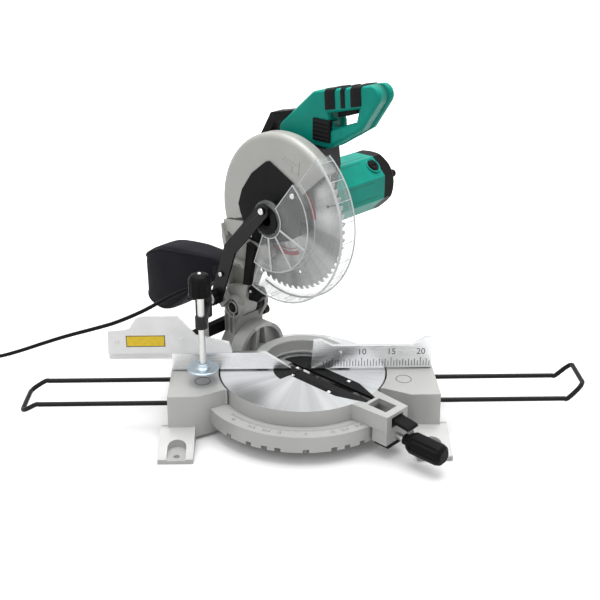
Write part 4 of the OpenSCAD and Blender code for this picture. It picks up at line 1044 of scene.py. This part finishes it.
class SAW_OT_fence_ruler(bpy.types.Operator):
    """Print the ruler on the right fence: ticks and centimetre numbers"""

    bl_idname = "saw.fence_ruler"
    bl_label = "Fence ruler"

    def execute(self, context):
        whole = bmesh.new()
        width = sizes().tick / MM
        for x in RULER_REACH:
            tall = 16 if x % 50 == 0 else 13 if x % 10 == 0 else 9.5
            join(whole, block((width, tall, 0.14)), on_fence(x, 0.02, RULER_FOOT + tall / 2))
        for number in (10, 15, 20):
            lettering(whole, str(number), sizes().digit / MM, on_fence(10 * number, 0, RULER_FIGURES), 0.25)
        bmesh.ops.recalc_face_normals(whole, faces=whole.faces)
        finish_piece("fence_ruler_marks", whole, "fence_metal", "base", "dark_print", smooth=False)
        rivets = [(screw_shape(2.6, 1.0), on_fence(x, 0.05, RULER_FIGURES)) for x in (64, 166)]
        fit("fence_rivets", rivets, "steel", "base")
        return {"FINISHED"}


# Section of the bridge that joins the fences behind the blade, as radius and height in millimetres
BRIDGE_SECTION = [
    (59.5, 82.6), (59.5, 85.4), (62, 85.8), (62.6, 104.6),
    (64, 106), (80.6, 106), (82, 104.6), (82.6, 82.6),
]

# The bridge's ends in degrees, and the kerf plates' radius and half gap in millimetres
BRIDGE_FROM = 6.5
BRIDGE_TO = 173.5
KERF_PLATE_R = 50
KERF_PLATE_GAP = 6


class SAW_OT_fence_bridge(bpy.types.Operator):
    """Join the two fences by the curved bridge behind the blade, and fit the kerf plates before it"""

    bl_idname = "saw.fence_bridge"
    bl_label = "Fence bridge"

    def execute(self, context):
        whole = bmesh.new()
        start = math.radians(BRIDGE_FROM)
        verts = []
        for r, z in BRIDGE_SECTION:
            verts.append(whole.verts.new((r * MM * math.cos(start), r * MM * math.sin(start), z * MM)))
        face = whole.faces.new(verts)
        bmesh.ops.spin(
            whole,
            geom=[face, *face.edges, *face.verts],
            cent=(0, 0, 0),
            axis=(0, 0, 1),
            angle=math.radians(BRIDGE_TO - BRIDGE_FROM),
            steps=64,
        )
        bmesh.ops.recalc_face_normals(whole, faces=whole.faces)
        finish_piece("fence_bridge", whole, "casting", "base", round_edges=0.8)
        plates = []
        for side in (-1, 1):
            arc = arc_points(KERF_PLATE_R, [math.radians(90 + side * t) for t in range(7, 91, 6)])
            plates.append((plate([*arc, (side * -KERF_PLATE_GAP, 0)], 0.5), on_top(0, 0, TABLE_H)))
        fit("kerf_rear_plates", plates, "black_plastic", "table", smooth=False)
        return {"FINISHED"}


# Mitre scale on the skirt in millimetres: radius at the inner end of its ticks and at the middle of its
# figures, and heights of both
SCALE_INNER = 150.5
SCALE_FIGURES = 162.5
SCALE_TICK_Z = 51.95
SCALE_FIGURE_Z = 52.05


class SAW_OT_mitre_scale(bpy.types.Operator):
    """Raise the degree ticks and numbers on the skirt in front of the table, darkened as painted shade of
    their relief
    """

    bl_idname = "saw.mitre_scale"
    bl_label = "Mitre scale"

    def execute(self, context):
        whole = bmesh.new()
        for degree in range(-50, 51):
            tall = 7 if degree % 5 == 0 else 4.5
            place = turn_z(degree) @ shift(0, -SCALE_INNER - tall / 2, SCALE_TICK_Z)
            join(whole, block((0.7, tall, 0.3)), place)
        for degree in (-45, -31.6, -22.5, -15, 0, 15, 22.5, 31.6, 45):
            place = turn_z(degree) @ shift(0, -SCALE_FIGURES, SCALE_FIGURE_Z)
            lettering(whole, f"{abs(degree):g}", 8.0, place, 0.4)
        bmesh.ops.recalc_face_normals(whole, faces=whole.faces)
        # The marks' darker tone is painted shade of their relief
        finish_piece("mitre_scale_marks", whole, "casting", "base", "painted_relief_shade", smooth=False)
        return {"FINISHED"}


# Dark lines round the yellow plate in millimetres: middle across and up, width and height
PLATE_BORDER = [
    (-263, 146.2, 65, 1.4), (-263, 126.8, 65, 1.4), (-294.8, 136.5, 1.4, 21), (-231.2, 136.5, 1.4, 21),
]

# Bevel scale on the trunnion: radius of its strip and of its marks in millimetres, and its ends in degrees
BEVEL_STRIP_R = 50.4
BEVEL_MARK_R = 50.6
BEVEL_STRIP = (62, 108)
BEVEL_MARKS = range(64, 108, 3)

# Section of the raised outlines on the wings, as radius and height in millimetres, and how it is stretched
OVAL_SECTION = [(10.2, 0), (10.6, 0.5), (11.4, 0.5), (11.8, 0), (11, -0.3), (10.2, 0)]
OVAL_STRETCH = Matrix.Diagonal((1.15, 1.2, 1, 1))


class SAW_OT_plates(bpy.types.Operator):
    """Fit the bare yellow plate, the bevel scale and the empty ovals of the wings"""

    bl_idname = "saw.plates"
    bl_label = "Plates"

    def execute(self, context):
        self.yellow_plate()
        self.bevel_scale()
        self.wing_ovals()
        return {"FINISHED"}

    def yellow_plate(self):
        """Plate with a dark border on the sliding fence, and the fence's screws."""
        film = [(block((65, 21, 0.3), 0.12), on_fence(-263, 0.52, 136.5))]
        fit("yellow_plate", film, "white_plastic", "sliding_fence", finish="yellow_film", smooth=False)
        border = [(block((wide, tall, 0.1)), on_fence(x, 0.28, z)) for x, z, wide, tall in PLATE_BORDER]
        fit(
            "yellow_plate_border", border, "white_plastic", "sliding_fence", finish="dark_print", smooth=False
        )
        screws = [(screw_shape(3.2, 1.2), on_fence(x, 0.6, z)) for x, z in ((-310.5, 136), (-202, 138.5))]
        fit("sliding_fence_screws", screws, "steel", "sliding_fence")

    def bevel_scale(self):
        """White scale on the rim of the trunnion."""
        place = on_front(0, -97.9, TABLE_H)
        strip = [(ribbon(BEVEL_STRIP_R, 5.6, *BEVEL_STRIP, 0.3), place)]
        fit("bevel_scale_plate", strip, "table_metal", "table", finish="white_print", smooth=False)
        marks = []
        for degree in BEVEL_MARKS:
            tall = 3.6 if (degree - BEVEL_MARKS.start) % 15 == 0 else 2.2
            spot = place @ turn_z(degree - 90) @ shift(0, BEVEL_MARK_R, 0.28)
            marks.append((block((0.5, tall, 0.12)), spot))
        fit("bevel_scale_marks", marks, "table_metal", "table", finish="dark_print", smooth=False)

    def wing_ovals(self):
        """Raised empty outlines on top of the wings, darkened like the mitre scale's marks as painted shade
        of their relief.
        """
        ovals = []
        for x in (-167.5, 167.5):
            ovals.append((turned_shape(OVAL_SECTION, 48), shift(x, -37, TABLE_H) @ OVAL_STRETCH))
        fit("wing_ovals", ovals, "casting", "base", finish="painted_relief_shade")


# Red arcs of the blade: ends in degrees, and radius and width in millimetres
RED_ARCS = ((-128, -62), (5, 60), (130, 190))
RED_BANDS = ((66, 7), (58, 1.6))
BLADE_TEETH = 60


class SAW_OT_blade_details(bpy.types.Operator):
    """Print the red arcs of the blade and braze on its carbide tips"""

    bl_idname = "saw.blade_details"
    bl_label = "Blade details"

    def execute(self, context):
        face = on_left(-1.25, BLADE_A, BLADE_Z)
        arcs = []
        for radius, width in RED_BANDS:
            arcs += [(ribbon(radius, width, start, stop, 0.08), face) for start, stop in RED_ARCS]
        fit("blade_red_print", arcs, "blade_steel", "blade", finish="red_print", smooth=False)
        tips = []
        for i in range(BLADE_TEETH):
            place = on_left(0, BLADE_A, BLADE_Z) @ turn_z(360 * i / BLADE_TEETH)
            tips.append((block((4.2, 1.5, 3.2), 0.25), place @ shift(125.2, 1.1, -1.6)))
        fit("carbide_tips", tips, "blade_steel", "blade", finish="steel", smooth=False)
        return {"FINISHED"}


# Outline of the turning arrow in millimetres about its middle
ARROW = [(-18, 9), (3, 1), (0, -7), (15, -9), (18, 10), (9, 6), (-14, 14)]


class SAW_OT_guard_details(bpy.types.Operator):
    """Raise the turning arrow on the guard, and fit the screws of the guard and the link"""

    bl_idname = "saw.guard_details"
    bl_label = "Guard details"

    def execute(self, context):
        place = on_left(-17, -11, 437)
        lines = []
        for first, second in zip(ARROW, ARROW[1:] + ARROW[:1]):
            run = Vector(second) - Vector(first)
            middle = (Vector(first) + Vector(second)) / 2
            turn = Matrix.Rotation(math.atan2(run.y, run.x), 4, "Z")
            line = block((run.length + 1.2, 1.5, 0.7), 0.2)
            lines.append((line, place @ shift(middle.x, middle.y, -0.1) @ turn))
        fit("guard_arrow", lines, "guard_paint", "head")
        fit("cover_screws", [(screw_shape(4.2, 2.0), on_left(-19.9, -102, 302))], "steel", "head")
        screws = [
            (screw_shape(5.4, 2.2), on_left(-53.2, LINK_A + 115.4, LINK_Z + 181.8)),
            (screw_shape(4.2, 1.8), on_left(-52.7, LINK_A + 15, LINK_Z + 46)),
        ]
        fit("link_screws", screws, "steel", "link")
        return {"FINISHED"}


# Clear guard in millimetres and degrees: its radii, faces along the blade's axis, and the arc it covers
CLEAR_R = 143.5
CLEAR_STEP_R = 88
CLEAR_HUB_R = 30
CLEAR_FACE = -40.5
CLEAR_STEP = -26
CLEAR_RIGHT = 6
CLEAR_FROM = -112
CLEAR_TO = 52
CLEAR_SPOKES = (-20, -52, -84)

# Painted highlight lines along the guard's arcs in millimetres: radius, width, place along the blade's axis,
# thickness
CLEAR_LINES = [
    (CLEAR_R - 1.2, 2.4, CLEAR_STEP, 0.5),
    (CLEAR_R + 0.2, 0.6, CLEAR_STEP + 2, 2.3),
    (CLEAR_R - 1.0, 2.4, CLEAR_RIGHT + 0.4, 0.5),
    (CLEAR_R + 0.2, 0.6, CLEAR_RIGHT + 0.4, 2.2),
    (CLEAR_STEP_R - 1.0, 2.0, CLEAR_FACE, 0.5),
    (CLEAR_STEP_R + 0.8, 1.4, CLEAR_STEP, 0.4),
    (CLEAR_HUB_R + 0.2, 1.4, CLEAR_FACE - 2, 0.4),
]

# Ribs across the guard's rim, coloured as painted highlights: how many, and their first place and spacing in
# degrees
CLEAR_RIBS = 13
RIB_FIRST = CLEAR_FROM + 4
RIB_SPACING = 13


class SAW_OT_guard_edges(bpy.types.Operator):
    """Paint highlights on the edges, spokes and ribs of the clear guard, as pale strips where light gathers
    in the plastic
    """

    bl_idname = "saw.guard_edges"
    bl_label = "Guard edges"

    def execute(self, context):
        lines = []
        for radius, width, v, thickness in CLEAR_LINES:
            arc = ribbon(radius, width, CLEAR_FROM, CLEAR_TO, thickness, 72)
            lines.append((arc, on_left(v, BLADE_A, BLADE_Z)))
        for degree in CLEAR_SPOKES:
            lines.append(self.ray(degree, CLEAR_HUB_R, CLEAR_STEP_R - 1, 3.4, CLEAR_FACE - 2))
        for degree in (CLEAR_FROM + 0.5, CLEAR_TO - 0.5):
            lines.append(self.ray(degree, CLEAR_HUB_R, CLEAR_STEP_R, 1.6, CLEAR_FACE))
            lines.append(self.ray(degree, CLEAR_STEP_R, CLEAR_R, 1.6, CLEAR_STEP))
        wide = CLEAR_RIGHT - CLEAR_STEP - 4
        for i in range(CLEAR_RIBS):
            place = on_left(CLEAR_RIGHT - 2, BLADE_A, BLADE_Z) @ turn_z(RIB_FIRST + RIB_SPACING * i)
            lines.append((block((0.5, 1.0, wide)), place @ shift(CLEAR_R, 0, 0)))
        # The pale strips are painted highlights
        fit("guard_painted_highlight_edges", lines, "clear_plastic", "lower_guard", finish="painted_highlight_edge", smooth=False)
        pin = [(screw_shape(4.6, 2.4), on_left(CLEAR_FACE, BLADE_A + 54, BLADE_Z + 51))]
        fit("guard_pin", pin, "steel", "lower_guard")
        return {"FINISHED"}

    def ray(self, degree, start, stop, width, v):
        """A painted highlight strip along a radius of the guard, with its place."""
        strip = block((stop - start, width, 0.6), 0.15)
        return strip, on_left(v, BLADE_A, BLADE_Z) @ turn_z(degree) @ shift((start + stop) / 2, 0, 0)


# Outlines of the dust deflector in millimetres, towards the user and up, and the middle of its knob
DEFLECTOR_STRIP = [(-100, 293), (-112, 214), (-96, 216), (-92.5, 236), (-87, 262), (-82, 287)]
DEFLECTOR_FLAP = [(-112, 208), (-112, 182), (-88, 184), (-77, 197), (-84, 210)]
DEFLECTOR_KNOB = (-99, 203)

# Sections of the spring's cover and the link's washer, as radius and height in millimetres
SPRING_COVER = [(17.2, 0), (18.6, 0.6), (18.6, 16.4), (17.2, 17), (16.4, 8), (17.2, 0)]
LINK_WASHER = [(5.6, 0), (9.4, 0), (9.8, 0.6), (9.4, 1.4), (5.6, 1.4), (5.6, 0)]


class SAW_OT_deflector(bpy.types.Operator):
    """Fit the black dust deflector on the arm, the spring's cover and the link's washer"""

    bl_idname = "saw.deflector"
    bl_label = "Dust deflector"

    def execute(self, context):
        deflector = [
            (plate(DEFLECTOR_STRIP, 9, 1.2), on_left(-22, 0, 0)),
            (plate(DEFLECTOR_FLAP, 14, 1.2), on_left(-6, 0, 0)),
            (screw_shape(7.5, 5.0, False), on_left(-20, *DEFLECTOR_KNOB)),
        ]
        fit("dust_deflector", deflector, "black_plastic", "head", round_edges=0.4)
        fit("deflector_screw", [(screw_shape(2.6, 1.4), on_left(-24.8, *DEFLECTOR_KNOB))], "steel", "head")
        cover = [(turned_shape(SPRING_COVER, 40), on_left(20.2, PIVOT_A, PIVOT_Z))]
        fit("spring_cover", cover, "black_plastic", "bevel_arm")
        place = on_left(-63.3, LINK_A, LINK_Z)
        washer = [(turned_shape(LINK_WASHER, 32), place), (screw_shape(5.6, 4.2), place)]
        fit("link_washer", washer, "steel", "bevel_arm")
        return {"FINISHED"}


# Left face of the bevel arm's ear along the blade's axis, and the clamp's axis and the top of its knob
EAR_FACE = -37
CLAMP_AXIS = (-166, -36)
CLAMP_TOP = 273

# Rings round the pivot in millimetres: inner and outer radius and height, then the depth they sink to
# and the rounding of their rims
PIVOT_RINGS = ((9.2, 11.6, 3.2), (15.4, 18.8, 2.2))
RING_SINK = -0.5
RING_ROUND = 0.6


class SAW_OT_pivot_details(bpy.types.Operator):
    """Ring the end of the head's pivot, with painted shade in its hollows, and put the screw in the top of
    the clamp's knob
    """

    bl_idname = "saw.pivot_details"
    bl_label = "Pivot details"

    def execute(self, context):
        place = on_left(EAR_FACE, PIVOT_A, PIVOT_Z)
        rings = []
        for inner, outer, high in PIVOT_RINGS:
            low = high - RING_ROUND
            rim = [(inner, low), (inner + RING_ROUND, high), (outer - RING_ROUND, high), (outer, low)]
            section = [(inner, RING_SINK), *rim, (outer, RING_SINK), (inner, RING_SINK)]
            rings.append((turned_shape(section, 48), place))
        # Rings in the bevel arm's darker tone, partly bare metal and partly painted shade
        fit("pivot_rings", rings, "casting", "bevel_arm", finish="bare_and_shaded_casting")
        # Painted shade: a dark disc and arcs laid in the pivot's hollows
        centre = [(0, 1.9), (8.6, 1.9), (9.4, 0.6), (9.4, RING_SINK), (0, RING_SINK)]
        hollow_shade = [(turned_shape(centre, 40), place)]
        hollow_shade += [(ribbon(13.5, 3.0, start, start + 80, 0.3, 20), place) for start in (20, 140, 260)]
        fit("pivot_hollow_shade", hollow_shade, "black_plastic", "bevel_arm")
        screw = [(screw_shape(3.6, 1.6), shift(*CLAMP_AXIS, CLAMP_TOP - 0.2))]
        fit("clamp_knob_screw", screw, "steel", "clamp_screw")
        return {"FINISHED"}


# Sections round the brush cap and of the end cap's bosses, as radius and height in millimetres
BRUSH_RING = [(11.4, -1.4), (11.4, 1.3), (12.0, 1.9), (13.6, 1.9), (14.4, 1.0), (14.4, -1.4), (11.4, -1.4)]
BRUSH_SEAT = [(8.3, 0.4), (8.3, 1.0), (10.9, 1.0), (11.2, 0.4), (11.2, -1.4), (8.3, -1.4), (8.3, 0.4)]
END_BOSS = [(0, 8.4), (4.6, 8.4), (6.2, 7.2), (6.8, 5.2), (7.2, -5), (0, -5)]

# Seams of the motor housing: angle about its axis in degrees, then aside, start and end in millimetres
MOTOR_SEAMS = ((0, 12, 70, 164), (0, -14, 70, 150), (45, -15, 66, 140), (90, 10, 70, 160))

# Right face of the motor's end cap along its axis
END_FACE = 205


class SAW_OT_motor_details(bpy.types.Operator):
    """Add the ring round the brush cap, the housing's seams and the end cap's bosses"""

    bl_idname = "saw.motor_details"
    bl_label = "Motor details"

    def execute(self, context):
        brush = self.facet(50, 162, 47.2)
        fit("brush_ring", [(turned_shape(BRUSH_RING, 40), brush)], "green_plastic", "head")
        fit("brush_seat", [(turned_shape(BRUSH_SEAT, 40), brush)], "black_plastic", "head")
        seams = []
        for angle, aside, start, stop in MOTOR_SEAMS:
            place = self.facet(angle, (start + stop) / 2, 47.1) @ shift(aside, 0, -0.05)
            seams.append((block((0.9, stop - start, 0.25)), place))
        fit("motor_seams", seams, "green_plastic", "head", finish="dark_green", smooth=False)
        bosses = []
        for side in (1, -1):
            place = on_right(END_FACE, MOTOR_A + side * 35, MOTOR_Z + side * 14)
            bosses.append((turned_shape(END_BOSS, 36), place))
        fit("end_cap_bosses", bosses, "black_plastic", "head")
        return {"FINISHED"}

    def facet(self, angle, v, reach):
        """Place on the motor's side at an angle about its axis, with Y along the axis."""
        lean = math.radians(angle)
        turn = Matrix.Rotation(lean, 4, "X").inverted()
        outward = Matrix(((0, 1, 0, 0), (0, 0, -1, 0), (-1, 0, 0, 0), (0, 0, 0, 1)))
        a = MOTOR_A + reach * math.cos(lean)
        z = MOTOR_Z + reach * math.sin(lean)
        return on_top(v, a, z) @ turn @ outward


# Screws in millimetres: those of the handle's right half, towards the user and above the table,
# and the radius of the motor's
HANDLE_SCREWS = ((-52, 402), (12, 402), (-14, 440), (60, 409), (98, 470))
MOTOR_SCREW_R = 40


class SAW_OT_screws(bpy.types.Operator):
    """Fit the screws of the kerf boards, the handle and the motor"""

    bl_idname = "saw.screws"
    bl_label = "Screws"

    def execute(self, context):
        kerf = []
        for v in (-25, 25):
            kerf += [(screw_shape(4.3, 1.9), on_top(v, a, TABLE_H - 2.2)) for a in (-44, 0, 82)]
        fit("kerf_screws", kerf, "steel", "table")
        handle = [(screw_shape(3.4, 1.4), on_right(65, a, TABLE_H + up)) for a, up in HANDLE_SCREWS]
        fit("handle_screws", handle, "steel", "head")
        motor = []
        for a, z in arc_points(MOTOR_SCREW_R, map(math.radians, (45, 135, 225, 315))):
            motor.append((screw_shape(3.4, 1.6), on_right(END_FACE, MOTOR_A + a, MOTOR_Z + z)))
        fit("motor_screws", motor, "steel", "head")
        return {"FINISHED"}


# Lamps in metres: where they stand and how wide they are, and the point that they aim at
KEY_LAMP = ((-1.5, -1.9, 2.6), 2.2)
FILL_LAMP = ((2.2, -1.0, 1.7), 2.0)
TOP_LAMP = ((0.1, 0.25, 2.7), 2.4)
LAMP_AIM = Vector((0, 0, 0.15))

# Floor: its shades, its glow near the saw and far off, where those end and begin in metres,
# and how near a cover dims the glow into a painted shadow, in metres
FLOOR_DARK = (0.6, 0.6, 0.6)
FLOOR_LIGHT = (0.62, 0.62, 0.62)
GLOW = (0.5, 1.0)
GLOW_REACH = (0.5, 1.3)
PAINTED_SHADOW_REACH = 0.12


class SAW_OT_stage(bpy.types.Operator):
    """Set up the pale floor and the soft studio light"""

    bl_idname = "saw.stage"
    bl_label = "Stage"

    def execute(self, context):
        self.floor()
        self.world(context)
        self.lamp(context, "key", *KEY_LAMP, sizes().key_power)
        self.lamp(context, "fill", *FILL_LAMP, sizes().fill_power)
        self.lamp(context, "top", *TOP_LAMP, sizes().top_power)
        context.scene.view_settings.view_transform = "Standard"
        return {"FINISHED"}

    def seen_rays(self, tree):
        """Is 1 for rays that show the background: straight, mirrored or through clear plastic."""
        rays = add_node(tree, "ShaderNodeLightPath")
        seen = rays.outputs["Is Camera Ray"]
        for name in ("Is Glossy Ray", "Is Transmission Ray"):
            seen = combine(tree, "MAXIMUM", seen, rays.outputs[name])
        return seen

    def floor(self):
        """White floor that glows, less so near the saw, with a painted shadow where the saw covers it."""
        whole = bmesh.new()
        bmesh.ops.create_grid(whole, x_segments=2, y_segments=2, size=20)
        finish, tree, bsdf = shader("floor_white")
        vector = placed(tree)
        base = blend_colours(tree, noise_of(tree, vector, 3.0), FLOOR_DARK, FLOOR_LIGHT)
        tree.links.new(base, bsdf.inputs["Base Color"])
        bsdf.inputs["Roughness"].default_value = 0.7
        set_gloss(bsdf, 0.2)
        glow = spread(tree, distance(tree, vector), *GLOW, *GLOW_REACH)
        glow = combine(tree, "MULTIPLY", glow, self.seen_rays(tree))
        # Painted shadow: ambient occlusion dims the glow where the saw covers the floor
        cover = add_node(tree, "ShaderNodeAmbientOcclusion", {"Distance": PAINTED_SHADOW_REACH}, samples=8)
        glow = combine(tree, "MULTIPLY", glow, cover.outputs["AO"])
        bsdf.inputs["Emission Color"].default_value = (1, 1, 1, 1)
        tree.links.new(glow, bsdf.inputs["Emission Strength"])
        floor = add_object("floor", whole, finish, smooth=False)

    def world(self, context):
        """Even white light from all round, with a white background."""
        world = bpy.data.worlds.new("studio")
        world.use_nodes = True
        tree = world.node_tree
        back = tree.nodes["Background"]
        back.inputs["Color"].default_value = (1, 1, 1, 1)
        strength = spread(tree, self.seen_rays(tree), sizes().sky, 1.0, 0.0, 1.0)
        tree.links.new(strength, back.inputs["Strength"])
        context.scene.world = world

    def lamp(self, context, name, place, size, power):
        """A soft square lamp that aims at the saw."""
        data = bpy.data.lights.new(name, "AREA")
        data.shape = "SQUARE"
        data.size = size
        data.energy = power
        lamp = bpy.data.objects.new(name, data)
        context.scene.collection.objects.link(lamp)
        aim = LAMP_AIM - Vector(place)
        lamp.matrix_world = Matrix.Translation(place) @ aim.to_track_quat("-Z", "Y").to_matrix().to_4x4()


OPERATORS = (
    SAW_OT_camera,
    SAW_OT_cord,
    SAW_OT_finishes,
    SAW_OT_dust_bag,
    SAW_OT_fence_ruler,
    SAW_OT_fence_bridge,
    SAW_OT_mitre_scale,
    SAW_OT_plates,
    SAW_OT_blade_details,
    SAW_OT_guard_details,
    SAW_OT_guard_edges,
    SAW_OT_deflector,
    SAW_OT_pivot_details,
    SAW_OT_motor_details,
    SAW_OT_screws,
    SAW_OT_stage,
)


class SAW_PT_pieces(bpy.types.Panel):
    """Lists the pieces that dress the saw"""

    bl_idname = "SAW_PT_pieces"
    bl_label = "Mitre saw"
    bl_space_type = "VIEW_3D"
    bl_region_type = "UI"
    bl_category = "Mitre saw"

    def draw(self, context):
        for operator in OPERATORS:
            self.layout.operator(operator.bl_idname)
        for group in (context.scene.saw_colours, context.scene.saw_sizes):
            for key in group.__annotations__:
                self.layout.prop(group, key)


CLASSES = (SawColours, SawSizes, *OPERATORS, SAW_PT_pieces)


def register():
    for item in CLASSES:
        bpy.utils.register_class(item)
    bpy.types.Scene.saw_colours = PointerProperty(type=SawColours)
    bpy.types.Scene.saw_sizes = PointerProperty(type=SawSizes)


def unregister():
    del bpy.types.Scene.saw_sizes
    del bpy.types.Scene.saw_colours
    for item in reversed(CLASSES):
        bpy.utils.unregister_class(item)


def main():
    register()
    bpy.ops.saw.camera()
    bpy.ops.saw.cord()
    bpy.ops.saw.finishes()
    bpy.ops.saw.dust_bag()
    bpy.ops.saw.fence_ruler()
    bpy.ops.saw.fence_bridge()
    bpy.ops.saw.mitre_scale()
    bpy.ops.saw.plates()
    bpy.ops.saw.blade_details()
    bpy.ops.saw.guard_details()
    bpy.ops.saw.guard_edges()
    bpy.ops.saw.deflector()
    bpy.ops.saw.pivot_details()
    bpy.ops.saw.motor_details()
    bpy.ops.saw.screws()
    bpy.ops.saw.stage()


if __name__ == "__main__":
    main()
